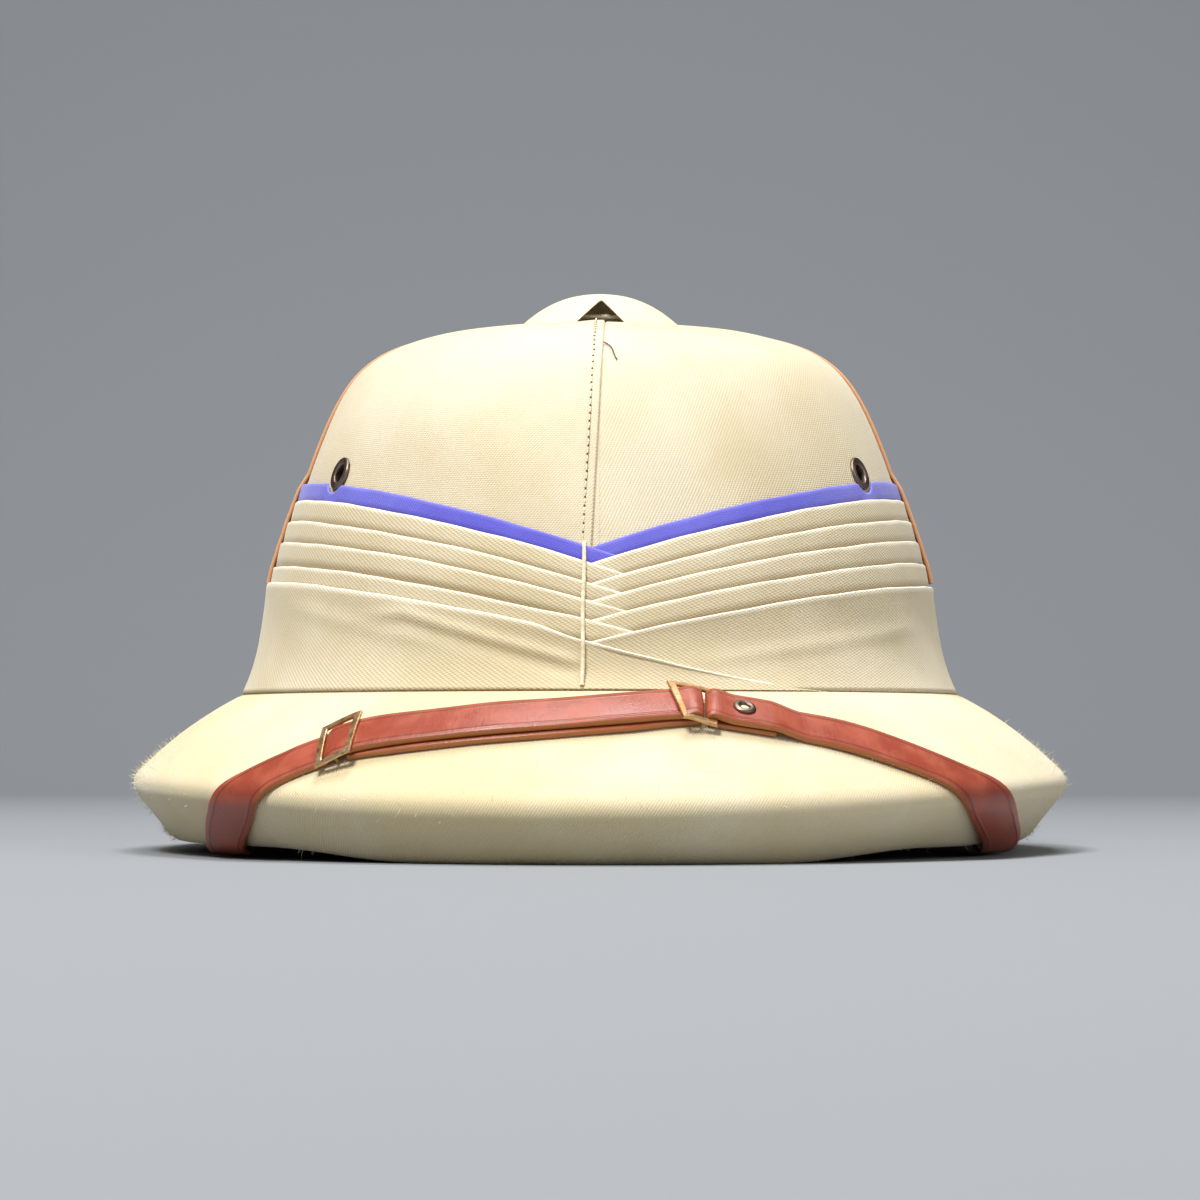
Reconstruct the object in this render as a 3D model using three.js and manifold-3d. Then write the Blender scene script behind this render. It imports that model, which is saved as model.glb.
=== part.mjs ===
import * as THREE from 'three';
import { mergeVertices } from 'three/addons/utils/BufferGeometryUtils.js';
import Module from 'manifold-3d';

// Sun helmet of cloth-covered pith. Millimetres, +Z up, the front faces -Y.
// Angles are in degrees round the crown, 0 at the front and growing towards +X.

const clearance = 0.3;
const crownCentreY = -3.9;
const seatHeight = 42;
const ventRadius = 10.2;

// Outer and inner half sizes of the crown, from its seat in the brim to the vent hole
const crownRows = [
  { height: seatHeight + clearance, halfWidth: 105.5, halfLength: 124.5 },
  { height: 60, halfWidth: 101.2, halfLength: 120 },
  { height: 80, halfWidth: 97.4, halfLength: 116 },
  { height: 100, halfWidth: 92.6, halfLength: 110.4 },
  { height: 120, halfWidth: 86.2, halfLength: 103 },
  { height: 136.8, halfWidth: 78.7, halfLength: 93.5 },
  { height: 147, halfWidth: 70.4, halfLength: 83.2 },
  { height: 153.2, halfWidth: 58.2, halfLength: 69.2 },
  { height: 156.8, halfWidth: 39, halfLength: 47 },
  { height: 158.8, halfWidth: ventRadius, halfLength: ventRadius },
];
const cavityRows = [
  { height: seatHeight + clearance, halfWidth: 91.5, halfLength: 110.5 },
  { height: 60, halfWidth: 88.5, halfLength: 107.3 },
  { height: 80, halfWidth: 85.5, halfLength: 103.6 },
  { height: 100, halfWidth: 81, halfLength: 98.5 },
  { height: 118, halfWidth: 75, halfLength: 91.5 },
  { height: 132, halfWidth: 66.5, halfLength: 81.5 },
  { height: 140.5, halfWidth: 56.5, halfLength: 69 },
  { height: 146, halfWidth: 41, halfLength: 50 },
  { height: 149.2, halfWidth: ventRadius, halfLength: ventRadius },
];

// Brim edge at the front, the sides and the back, measured from the crown's centre
const brimRows = {
  front: { knee: 171.6, kneeHeight: 15.2, faceInset: 13.5 },
  side: { knee: 143.2, kneeHeight: 21, faceInset: 14.5 },
  back: { knee: 179.6, kneeHeight: 15.2, faceInset: 13.5 },
};
const brim = { lipHeight: 48.2, innerHeight: 30, landWidth: 4.5, topCurve: 0.4, sideLift: 3.4 };
const liftAngles = { startsAt: 22, fullFrom: 46, fullTo: 118, endsAt: 150 };

// Folds of the wound band, top to bottom: height of the upper edge at the sides,
// how far it dips at the front, and how far the fold stands off the crown
const foldRows = [
  { name: 'blue', sideTop: 110.8, dip: 23.7, standOff: 1.3 },
  { name: 'first', sideTop: 105.6, dip: 23, standOff: 1.8 },
  { name: 'second', sideTop: 99.3, dip: 22.4, standOff: 2.3 },
  { name: 'third', sideTop: 93, dip: 21, standOff: 2.8 },
  { name: 'fourth', sideTop: 86.4, dip: 19.8, standOff: 3.3 },
  { name: 'wide', sideTop: 79.6, dip: 19, standOff: 4.2 },
];
const fold = { crossAngle: -1.4, dipPower: 2.2, overlapStep: 0.12, taper: 0.25, tailAngle: 39 };
const band = { bottomOuter: 47.3, bottomInner: 49.8, waist: 5.2, flare: 0.6, leastStep: 0.15 };

// Chin strap: its route over the brim, as an angle and a distance past the brim's knee
const strapRoute = [
  { angle: -86, pastKnee: 82 },
  { angle: -70, pastKnee: 48 },
  { angle: -57, pastKnee: 23.5 },
  { angle: -52, pastKnee: 14 },
  { angle: -46, pastKnee: 3 },
  { angle: -41, pastKnee: -7 },
  { angle: -35.5, pastKnee: -16.5 },
  { angle: -28, pastKnee: -24.6 },
  { angle: -14, pastKnee: -32 },
  { angle: 2, pastKnee: -37.2 },
  { angle: 11, pastKnee: -39.4 },
  { angle: 18, pastKnee: -35.6 },
  { angle: 30, pastKnee: -26.4 },
  { angle: 39, pastKnee: -15.2 },
  { angle: 46.5, pastKnee: -3 },
  { angle: 52.5, pastKnee: 6 },
  { angle: 58.5, pastKnee: 14.2 },
  { angle: 66, pastKnee: 24.5 },
  { angle: 75, pastKnee: 48 },
  { angle: 88, pastKnee: 82 },
];
const strap = { width: 13.5, thickness: 1.6, turnSteps: 7, step: 8, rimStep: 3.4, postInset: 7 };
const strapBed = { heelEase: 0.5, innerEase: 1.4, rimEase: 0.7, rimFrom: 30, rimTo: -10 };
const strapShares = [-1, -0.35, 0.35, 1];
const slider = {
  leftAngle: -33, rightAngle: 12.6, pitch: 5, bar: 1.2, rail: 1.9, railGap: 0.6, foldPitch: 6.4,
};
const rivet = { angle: 18.7, headRadius: 3.2, shankRadius: 1.7, boreRadius: 1.1, tailAngle: 22.7 };
const post = { headRadius: 4.5, headThickness: 1.2, shankRadius: 1.9 };

const ventCap = { radius: 25.2, height: 10.7, wall: 1.8, domePower: 2.3, baseHeight: 158.7 };
const ventOpening = { count: 3, halfWidth: 7.4, height: 7.6 };
const collar = { tubeRadius: 9.8, boreRadius: 8.2, flangeRadius: 13.2, flangeHeight: 161.3 };
const eyelet = { angle: 58, height: 111.2, flangeRadius: 5.2, boreRadius: 2.9, barrelRadius: 3.7 };
const tape = { width: 6, thickness: 1.2, topReach: 27.5 };
const tack = { angle: -2.6, width: 1.1, height: 0.9, topHeight: 88.6 };

const brimColumns = 40;
const roundSides = 14;

const wasm = await Module();
wasm.setup();

const lerp = THREE.MathUtils.lerp;
const smoothstep = THREE.MathUtils.smoothstep;
const vector = (x, y, z) => new THREE.Vector3(x, y, z);

// A point over the crown's plan, from its half width, half length, angle and height
function planPoint(halfWidth, halfLength, angle, height) {
  const turn = THREE.MathUtils.degToRad(angle);
  return vector(halfWidth * Math.sin(turn), crownCentreY - halfLength * Math.cos(turn), height);
}

// A closed solid from its corners and triangles, turned so that the faces point out
function solidGeometry(points, index) {
  const [side, up] = [vector(), vector()];
  let volume = 0;
  for (let i = 0; i < index.length; i += 3) {
    side.copy(points[index[i + 1]]);
    up.copy(points[index[i + 2]]);
    volume += points[index[i]].dot(side.cross(up));
  }
  const faces = volume > 0 ? index : [...index].reverse();
  const geometry = new THREE.BufferGeometry().setFromPoints(points);
  geometry.setIndex(faces);
  return geometry;
}

// A loop of section points carried right round the crown
function ringSolid(angles, sectionAt) {
  const sections = angles.map(sectionAt);
  const count = sections[0].length;
  const index = [];
  for (let a = 0; a < sections.length; a++) {
    const b = (a + 1) % sections.length;
    for (let i = 0; i < count; i++) {
      const k = (i + 1) % count;
      const [p, q] = [a * count + i, b * count + i];
      const [r, s] = [b * count + k, a * count + k];
      index.push(p, q, r, p, r, s);
    }
  }
  return solidGeometry(sections.flat(), index);
}

// A loop of section points carried from one end to the other, and capped
function sweptSolid(sections) {
  const count = sections[0].length;
  const last = (sections.length - 1) * count;
  const index = [];
  for (let a = 0; a + count <= last; a += count) {
    for (let i = 0; i < count; i++) {
      const k = (i + 1) % count;
      index.push(a + i, a + count + i, a + count + k, a + i, a + count + k, a + k);
    }
  }
  for (let i = 1; i + 1 < count; i++) {
    index.push(0, i, i + 1, last, last + i + 1, last + i);
  }
  return solidGeometry(sections.flat(), index);
}

function latheSolid(profile, sides = roundSides) {
  return new THREE.LatheGeometry(profile.map(([r, h]) => new THREE.Vector2(r, h)), sides);
}

function toManifold(geometry) {
  const plain = geometry.clone();
  plain.deleteAttribute('normal');
  plain.deleteAttribute('uv');
  const merged = mergeVertices(plain, 1e-4);
  const vertProperties = new Float32Array(merged.attributes.position.array);
  const triVerts = new Uint32Array(merged.index.array);
  return new wasm.Manifold(new wasm.Mesh({ numProp: 3, vertProperties, triVerts }));
}

function fromManifold(solid) {
  const mesh = solid.getMesh();
  const geometry = new THREE.BufferGeometry();
  geometry.setAttribute('position', new THREE.BufferAttribute(mesh.vertProperties, 3));
  geometry.setIndex(new THREE.BufferAttribute(mesh.triVerts, 1));
  return geometry;
}

function cut(geometry, tools) {
  return fromManifold(tools.reduce((body, tool) => body.subtract(toManifold(tool)), toManifold(geometry)));
}

function join(geometries) {
  return fromManifold(geometries.map(toManifold).reduce((body, next) => body.add(next)));
}

// Turns a piece made along +Y so that it stands at a point, along a direction
function standAt(geometry, point, direction) {
  const turn = new THREE.Quaternion().setFromUnitVectors(vector(0, 1, 0), direction);
  return geometry.applyQuaternion(turn).translate(point.x, point.y, point.z);
}

// Smooth table of half sizes, read by a share of the way up or by a height
function profileOf(rows) {
  const widths = new THREE.CatmullRomCurve3(rows.map((r) => vector(r.halfWidth, r.halfLength, r.height)));
  widths.curveType = 'catmullrom';
  const at = (share) => {
    const p = widths.getPoint(share);
    return { halfWidth: p.x, halfLength: p.y, height: p.z };
  };
  const shareAt = (height) => {
    let [low, high] = [0, 1];
    for (let i = 0; i < 40; i++) {
      const middle = (low + high) / 2;
      if (at(middle).height < height) low = middle;
      else high = middle;
    }
    return low;
  };
  return { at, shareAt, atHeight: (height) => at(shareAt(height)) };
}

const crownProfile = profileOf(crownRows);
const cavityProfile = profileOf(cavityRows);

function crownPoint(height, angle, standOff = 0) {
  const row = crownProfile.atHeight(height);
  return planPoint(row.halfWidth + standOff, row.halfLength + standOff, angle, height);
}

function crownNormal(height, angle) {
  const across = crownPoint(height, angle + 0.5).sub(crownPoint(height, angle - 0.5));
  const up = crownPoint(height + 0.5, angle).sub(crownPoint(height - 0.5, angle));
  return across.cross(up).normalize();
}

const columnsOf = (count) => Array.from({ length: count }, (_, i) => (i * 360) / count - 180);
const shares = (count) => Array.from({ length: count }, (_, i) => i / (count - 1));

// Columns of the crown and its band, close together where the folds cross at the front
const frontColumns = [-8, -3.5, fold.crossAngle, 0.4, 2.2, 4, 7];
const bandColumns = [...frontColumns, ...columnsOf(32).filter((angle) => Math.abs(angle) > 10)]
  .sort((a, b) => a - b);

// Crown: a thick dome with the vent hole at its top and an air hole at each side
function crownSolid() {
  const wall = (profile, steps) => (angle) => shares(steps).map((share) => {
    const row = profile.at(share);
    return planPoint(row.halfWidth, row.halfLength, angle, row.height);
  });
  const outer = wall(crownProfile, 12);
  const inner = wall(cavityProfile, 8);
  const dome = ringSolid(bandColumns, (angle) => [...outer(angle), ...inner(angle).reverse()]);
  const holes = [-eyelet.angle, eyelet.angle].map((angle) => standAt(
    new THREE.CylinderGeometry(
      eyelet.barrelRadius + clearance, eyelet.barrelRadius + clearance, 40, roundSides,
    ),
    crownPoint(eyelet.height, angle),
    crownNormal(eyelet.height, angle),
  ));
  return cut(dome, holes);
}

// Height of the rim's land: flat at the front and back, lifted where the strap passes
function landHeight(angle) {
  const away = Math.abs(THREE.MathUtils.euclideanModulo(angle + 180, 360) - 180);
  const rise = smoothstep(away, liftAngles.startsAt, liftAngles.fullFrom);
  return brim.sideLift * rise * (1 - smoothstep(away, liftAngles.fullTo, liftAngles.endsAt));
}

// Corners of the brim's section at an angle
function brimCorners(angle) {
  const turn = THREE.MathUtils.degToRad(angle);
  const [side, end] = [brimRows.side, Math.cos(turn) >= 0 ? brimRows.front : brimRows.back];
  const kneeHeight = lerp(side.kneeHeight, end.kneeHeight, Math.cos(turn) ** 2);
  const reach = (back) => [side.knee - back(side), end.knee - back(end)];
  const [base, hollow] = [crownRows[0], cavityRows[0]];
  const land = landHeight(angle);
  const lip = [base.halfWidth + 2 * clearance, base.halfLength + 2 * clearance];
  const wallTop = cavityProfile.atHeight(56);
  return {
    lip: planPoint(...lip, angle, brim.lipHeight),
    seatOuter: planPoint(...lip, angle, seatHeight),
    knee: planPoint(...reach(() => 0), angle, kneeHeight),
    foot: planPoint(...reach((row) => row.faceInset), angle, land),
    heel: planPoint(...reach((row) => row.faceInset + brim.landWidth), angle, land),
    inner: planPoint(hollow.halfWidth, hollow.halfLength, angle, brim.innerHeight),
    seatInner: planPoint(hollow.halfWidth, hollow.halfLength, angle, seatHeight),
    wallTop: planPoint(wallTop.halfWidth, wallTop.halfLength, angle, 56),
  };
}

// The brim's outside from the crown's lip over the knee, down the face and onto the land
function brimOutside(corners, fine) {
  const { lip, knee, foot, heel } = corners;
  const drop = lip.z - knee.z;
  const top = (share) => {
    const p = lip.clone().lerp(knee, share);
    p.z = lip.z - drop * ((1 - brim.topCurve) * share + brim.topCurve * share * share);
    return p;
  };
  const faceStart = knee.clone().lerp(foot, 0.25);
  const faceEnd = knee.clone().lerp(foot, 0.84);
  const landStart = foot.clone().lerp(heel, 0.45);
  const kneeArc = new THREE.QuadraticBezierCurve3(top(0.9), knee, faceStart);
  const footArc = new THREE.QuadraticBezierCurve3(faceEnd, foot, landStart);
  const tops = shares(fine ? 12 : 4).map((share) => top(0.9 * share));
  const kneePoints = kneeArc.getPoints(fine ? 8 : 4);
  return {
    points: [...tops.slice(0, -1), ...kneePoints, ...footArc.getPoints(fine ? 4 : 2), heel],
    kneeAt: tops.length - 1 + (kneePoints.length - 1) / 2,
  };
}

function brimSolid() {
  return ringSolid(columnsOf(brimColumns), (angle) => {
    const corners = brimCorners(angle);
    const { heel, inner, seatInner, seatOuter } = corners;
    return [
      ...brimOutside(corners, false).points, heel.clone().lerp(inner, 0.5), inner, seatInner, seatOuter,
    ];
  });
}

// A point on the brim by its angle and its distance past the knee, going on over the rim,
// up the underside and onto the inner wall
function brimPoint(angle, pastKnee) {
  const corners = brimCorners(angle);
  const { points, kneeAt } = brimOutside(corners, true);
  const heel = points.at(-1).clone().add(vector(0, 0, -strapBed.heelEase));
  const inner = corners.inner.clone().lerp(vector(0, crownCentreY, 0), strapBed.innerEase / 60);
  const line = [...points.slice(0, -1), heel, inner, corners.seatInner, corners.wallTop];
  let walked = 0;
  for (let i = 0; i < kneeAt; i++) walked -= line[i].distanceTo(line[i + 1]);
  for (let i = 0; i + 1 < line.length; i++) {
    const step = line[i].distanceTo(line[i + 1]);
    if (pastKnee <= walked + step || i + 2 === line.length) {
      return line[i].clone().lerp(line[i + 1], (pastKnee - walked) / step);
    }
    walked += step;
  }
  return line[0];
}

function brimSteps(angle, pastKnee) {
  const across = brimPoint(angle + 0.5, pastKnee).sub(brimPoint(angle - 0.5, pastKnee));
  const along = brimPoint(angle, pastKnee + 0.8).sub(brimPoint(angle, pastKnee - 0.8)).divideScalar(1.6);
  return { across, along, normal: along.clone().cross(across).normalize() };
}

// Upper edge of a fold, the same on both sides of the front crossing
function foldLine(k, angle) {
  const { sideTop, dip } = foldRows[k];
  const fromFront = Math.min(Math.abs(angle - fold.crossAngle) / 90, 1);
  return sideTop - dip * (1 - fromFront) ** fold.dipPower;
}

// Upper edge of the end that lies on top: past the crossing it runs on downwards
function overLine(k, angle) {
  const past = angle - fold.crossAngle;
  if (past <= 0) return foldLine(k, angle);
  const crossing = foldLine(k, fold.crossAngle);
  if (k + 1 < foldRows.length) {
    const slope = (foldRows[k].dip * fold.dipPower) / 90;
    return crossing - slope * past;
  }
  const left = Math.max(1 - past / fold.tailAngle, 0);
  return lerp(band.bottomOuter, crossing, left ** 1.5);
}

// Section of a run of folds: each steps out under its upper edge, and its overlapping end
// steps out once more
function foldSection(first, last, angle, bottomOuter, bottomInner) {
  const points = [];
  let level = Infinity;
  const add = (height, standOff, step = band.leastStep) => {
    level = Math.min(height, level - step);
    points.push(crownPoint(level, angle, standOff));
  };
  const top = foldLine(first, angle);
  add(top, clearance, 0);
  for (let k = first; k <= last; k++) {
    const { standOff } = foldRows[k];
    const isWide = k === foldRows.length - 1;
    const end = k === last ? bottomOuter : foldLine(k + 1, angle);
    const over = Math.max(overLine(k, angle), end + (isWide ? 4 : 2) * band.leastStep);
    const shape = (height, extra) => {
      const share = (foldLine(k, angle) - height) / (foldLine(k, angle) - bottomOuter);
      if (isWide) return standOff + extra + band.flare * share - band.waist * share * (1 - share);
      return standOff + extra - fold.taper * THREE.MathUtils.clamp(share * 2, 0, 1);
    };
    add(foldLine(k, angle), standOff - fold.overlapStep, k === first ? 0 : band.leastStep);
    if (isWide) add(lerp(foldLine(k, angle), over, 0.5), shape(lerp(foldLine(k, angle), over, 0.5), -0.1));
    add(over, shape(over, -fold.overlapStep));
    add(level, shape(level, fold.overlapStep), 0);
    if (isWide) {
      const from = level;
      for (const share of [0.3, 0.65]) {
        const height = lerp(from, bottomOuter, share);
        add(height, shape(height, fold.overlapStep));
      }
    }
    add(end, shape(end, fold.overlapStep));
  }
  for (const share of shares(first === last ? 2 : 4).slice(0, -1)) {
    points.push(crownPoint(lerp(bottomInner, top, share), angle, clearance));
  }
  return points;
}

function puggareeSolid() {
  return ringSolid(bandColumns, (angle) => (
    foldSection(1, foldRows.length - 1, angle, band.bottomOuter, band.bottomInner)
  ));
}

function blueFoldSolid() {
  const ring = ringSolid(bandColumns, (angle) => {
    const bottom = foldLine(1, angle) + clearance;
    return foldSection(0, 0, angle, bottom, bottom);
  });
  const room = eyelet.flangeRadius + clearance;
  const holes = [-eyelet.angle, eyelet.angle].map((angle) => standAt(
    new THREE.CylinderGeometry(room, room, 12, roundSides),
    crownPoint(eyelet.height, angle),
    crownNormal(eyelet.height, angle),
  ));
  return cut(ring, holes);
}

// Stand-off that clears every fold at a height beside the front crossing or at the sides
function clearOfFolds(angle, height) {
  const cleared = foldRows.filter((row, k) => height <= foldLine(k, angle) + 1);
  const last = cleared.at(-1);
  return clearance + (last ? last.standOff + fold.overlapStep : 0);
}

// Tacking cord down the front, over every fold
function frontTackSolid() {
  const tops = foldRows.map((_, k) => foldLine(k, tack.angle) + 0.6);
  const heights = [tack.topHeight, ...tops, 54, band.bottomOuter + 1.4];
  return sweptSolid(heights.map((height) => {
    const inner = clearOfFolds(tack.angle, height) + (height === tack.topHeight ? 0.4 : 0);
    const middle = crownPoint(height, tack.angle, inner);
    const out = crownNormal(height, tack.angle);
    const side = vector(1, 0, 0).multiplyScalar(tack.width / 2);
    const top = middle.clone().addScaledVector(out, tack.height);
    return [middle.clone().sub(side), middle.clone().add(side), top.clone().add(side), top.clone().sub(side)];
  }));
}

// Narrow strip up a side seam, from the wide fold's edge to the vent cap
function sideTapeSolid(hand) {
  const start = foldLine(foldRows.length - 1, 90) + clearance;
  const from = crownProfile.shareAt(start);
  let upTo = 1;
  while (crownProfile.at(upTo).halfWidth < tape.topReach) upTo -= 0.002;
  const envelope = (height) => {
    const [top, low] = [foldRows[0], foldRows[4]];
    const share = (top.sideTop - height) / (top.sideTop - low.sideTop);
    return share < -0.25 ? 0 : Math.max(lerp(top.standOff, low.standOff, share) + fold.overlapStep, 0);
  };
  return sweptSolid(shares(20).map((step) => {
    const row = crownProfile.at(lerp(from, upTo, step));
    const out = crownNormal(row.height, 90);
    const inner = planPoint(row.halfWidth, row.halfLength, 90, row.height);
    inner.addScaledVector(out, clearance + envelope(row.height));
    const outer = inner.clone().addScaledVector(out, tape.thickness);
    const half = vector(0, tape.width / 2, 0);
    return [
      inner.clone().sub(half), inner.clone().add(half), outer.clone().add(half), outer.clone().sub(half),
    ]
      .map((p) => vector(hand * p.x, p.y, p.z));
  }));
}

// The strap's own space: distance along it, across it and above the brim
const routeCurve = new THREE.CatmullRomCurve3(strapRoute.map((row) => vector(row.angle, row.pastKnee, 0)));
const routeSamples = [];
for (const share of shares(400)) {
  const { x: angle, y: pastKnee } = routeCurve.getPoint(share);
  const point = brimPoint(angle, pastKnee);
  const before = routeSamples.at(-1);
  const along = before ? before.along + point.distanceTo(before.point) : 0;
  routeSamples.push({ angle, pastKnee, point, along });
}
const routeLength = routeSamples.at(-1).along;

function routeAt(along) {
  const reach = THREE.MathUtils.clamp(along, 0, routeLength);
  const found = routeSamples.findIndex((row) => row.along >= reach);
  const i = Math.min(Math.max(found, 1), routeSamples.length - 1);
  const [a, b] = [routeSamples[i - 1], routeSamples[i]];
  const share = (along - a.along) / (b.along - a.along);
  return {
    angle: lerp(a.angle, b.angle, share),
    pastKnee: lerp(a.pastKnee, b.pastKnee, share),
    heading: b.point.clone().sub(a.point).normalize(),
  };
}

function alongAt(angle) {
  return routeSamples.find((row) => row.angle >= angle).along;
}

function strapPoint(along, aside, above) {
  const { angle, pastKnee, heading } = routeAt(along);
  const here = brimSteps(angle, pastKnee);
  const crosswise = here.normal.clone().cross(heading).normalize();
  const turn = here.across.clone().cross(here.along);
  const byAngle = crosswise.clone().cross(here.along).dot(turn) / turn.lengthSq();
  const byKnee = here.across.clone().cross(crosswise).dot(turn) / turn.lengthSq();
  const place = [angle + aside * byAngle, pastKnee + aside * byKnee];
  return brimPoint(...place).addScaledVector(brimSteps(...place).normal, above);
}

// A flat strip whose middle follows a path of distances along and above the brim
function stripSolid(path, width) {
  const half = strap.thickness / 2;
  return sweptSolid(path.map((here, i) => {
    const before = path[Math.max(i - 1, 0)];
    const after = path[Math.min(i + 1, path.length - 1)];
    const run = new THREE.Vector2(after[0] - before[0], after[1] - before[1]).normalize();
    const edge = (side) => strapShares.map((aside) => (
      strapPoint(here[0] - side * run.y * half, aside * width / 2, here[1] + side * run.x * half)
    ));
    return [...edge(-1), ...edge(1).reverse()];
  }));
}

// Heights of the strap's middle: on the brim, and on a layer below
const lowLayer = clearance + strap.thickness / 2;
const highLayer = lowLayer + strap.thickness + clearance;
const barRoom = slider.bar + 4 * clearance;
const overBar = lowLayer + strap.thickness + barRoom;
const barLift = (strap.thickness + slider.bar) / 2 + 1.5 * clearance;

function straightRun(from, to, height, step = strap.step) {
  const steps = Math.max(Math.round(Math.abs(to - from) / step), 1);
  return shares(steps + 1).map((share) => [lerp(from, to, share), height]);
}

// From the strap's end inside the helmet, over the rim and onto the brim's top
function rimRun(end, top) {
  const height = lowLayer + strapBed.rimEase;
  const samples = end > top ? [...routeSamples].reverse() : routeSamples;
  const [from, to] = [strapBed.rimFrom, strapBed.rimTo]
    .map((pastKnee) => samples.find((row) => row.pastKnee <= pastKnee).along);
  return [
    ...straightRun(end, from, height),
    ...straightRun(from, to, height, strap.rimStep).slice(1),
    ...straightRun(lerp(to, top, 0.2), top, lowLayer),
  ];
}

// Half turn of the strap round a slider's bar, from the upper layer to the lower
function halfTurn(along, way) {
  const radius = (overBar - lowLayer) / 2;
  return shares(strap.turnSteps).map((share) => {
    const turn = Math.PI * share;
    return [along + way * radius * Math.sin(turn), lowLayer + radius + radius * Math.cos(turn)];
  });
}

const leftBarAt = alongAt(slider.leftAngle);
const rightBarAt = alongAt(slider.rightAngle);
const rivetAt = alongAt(rivet.angle);
const postsAt = { left: strap.postInset, right: routeLength - strap.postInset };

function postHole(along, radius) {
  const foot = strapPoint(along, 0, 0);
  const out = strapPoint(along, 0, 1).sub(foot).normalize();
  return standAt(new THREE.CylinderGeometry(radius, radius, 20, roundSides), foot, out);
}

function strapLeftSolid() {
  const arch = clearance + slider.bar + 2 * clearance + strap.thickness / 2;
  const path = [
    ...rimRun(0, leftBarAt - 0.8 * slider.pitch),
    [leftBarAt - 0.25 * slider.pitch, arch],
    [leftBarAt + 0.3 * slider.pitch, arch],
    ...straightRun(leftBarAt + 0.7 * slider.pitch, rightBarAt - 0.8 * slider.pitch, highLayer),
    [rightBarAt - 0.25 * slider.pitch, overBar],
    ...halfTurn(rightBarAt, 1),
    ...straightRun(rightBarAt - slider.pitch, leftBarAt + 1.6 * slider.pitch, lowLayer),
    [leftBarAt + 0.55 * slider.pitch, lowLayer],
  ];
  return cut(stripSolid(path, strap.width), [postHole(postsAt.left, post.shankRadius + clearance)]);
}

function strapRightSolid() {
  const path = [
    ...straightRun(alongAt(rivet.tailAngle), rivetAt - 3, lowLayer),
    ...halfTurn(rightBarAt + slider.foldPitch, -1).reverse(),
    ...straightRun(rivetAt - 3, alongAt(rivet.tailAngle), highLayer),
    ...rimRun(routeLength, alongAt(rivet.tailAngle) + strap.step).reverse(),
  ];
  return cut(stripSolid(path, strap.width), [
    postHole(rivetAt, rivet.shankRadius + clearance),
    postHole(postsAt.right, post.shankRadius + clearance),
  ]);
}

// Slider: three bars across the strap on two rails; the heights of the bars thread the strap
function sliderSolid(middle, bars) {
  const half = slider.bar / 2;
  const railIn = strap.width / 2 + slider.railGap;
  const railOut = railIn + slider.rail;
  const beam = (ends) => sweptSolid(ends.map((end) => end.map((p) => strapPoint(...p))));
  const pieces = bars.map(({ at, height }) => beam([-railOut, railOut].map((aside) => (
    [[-half, -half], [half, -half], [half, half], [-half, half]]
      .map(([by, up]) => [middle + at + by, aside, height + up])
  ))));
  for (const hand of [-1, 1]) {
    pieces.push(beam(bars.map(({ at, height }) => (
      [[railIn, -half], [railOut, -half], [railOut, half], [railIn, half]]
        .map(([aside, up]) => [middle + at + Math.sign(at) * half, hand * aside, height + up])
    ))));
  }
  return join(pieces);
}

function strapRivetSolid() {
  const top = highLayer + strap.thickness / 2 + clearance;
  const { headRadius, shankRadius, boreRadius } = rivet;
  const profile = [
    [boreRadius, clearance], [shankRadius, clearance], [shankRadius, top], [headRadius, top],
    [headRadius, top + 0.5], [headRadius - 0.7, top + 1], [boreRadius, top + 0.8], [boreRadius, clearance],
  ];
  const foot = strapPoint(rivetAt, 0, 0);
  return standAt(latheSolid(profile), foot, strapPoint(rivetAt, 0, 1).sub(foot).normalize());
}

function strapPostSolid(along) {
  const top = lowLayer + strap.thickness / 2 + strapBed.rimEase + 3 * clearance;
  const { headRadius, headThickness, shankRadius } = post;
  const profile = [
    [0, clearance], [shankRadius, clearance], [shankRadius, top], [headRadius, top],
    [headRadius - 0.5, top + headThickness], [0, top + headThickness],
  ];
  const foot = strapPoint(along, 0, 0);
  return standAt(latheSolid(profile), foot, strapPoint(along, 0, 1).sub(foot).normalize());
}

// Eyelet: a rolled flange on the cloth and a short barrel into the crown
function eyeletSolid(hand) {
  const { flangeRadius, boreRadius, barrelRadius } = eyelet;
  const profile = [
    [boreRadius, -5], [barrelRadius, -5], [barrelRadius, clearance], [flangeRadius, clearance],
    [flangeRadius, 0.9], [flangeRadius - 0.7, 1.6], [boreRadius + 0.7, 1.6],
    [boreRadius, 1], [boreRadius, -5],
  ];
  const angle = hand * eyelet.angle;
  return standAt(latheSolid(profile), crownPoint(eyelet.height, angle), crownNormal(eyelet.height, angle));
}

const upright = (geometry, height) => geometry.rotateX(Math.PI / 2).translate(0, crownCentreY, height);

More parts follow.
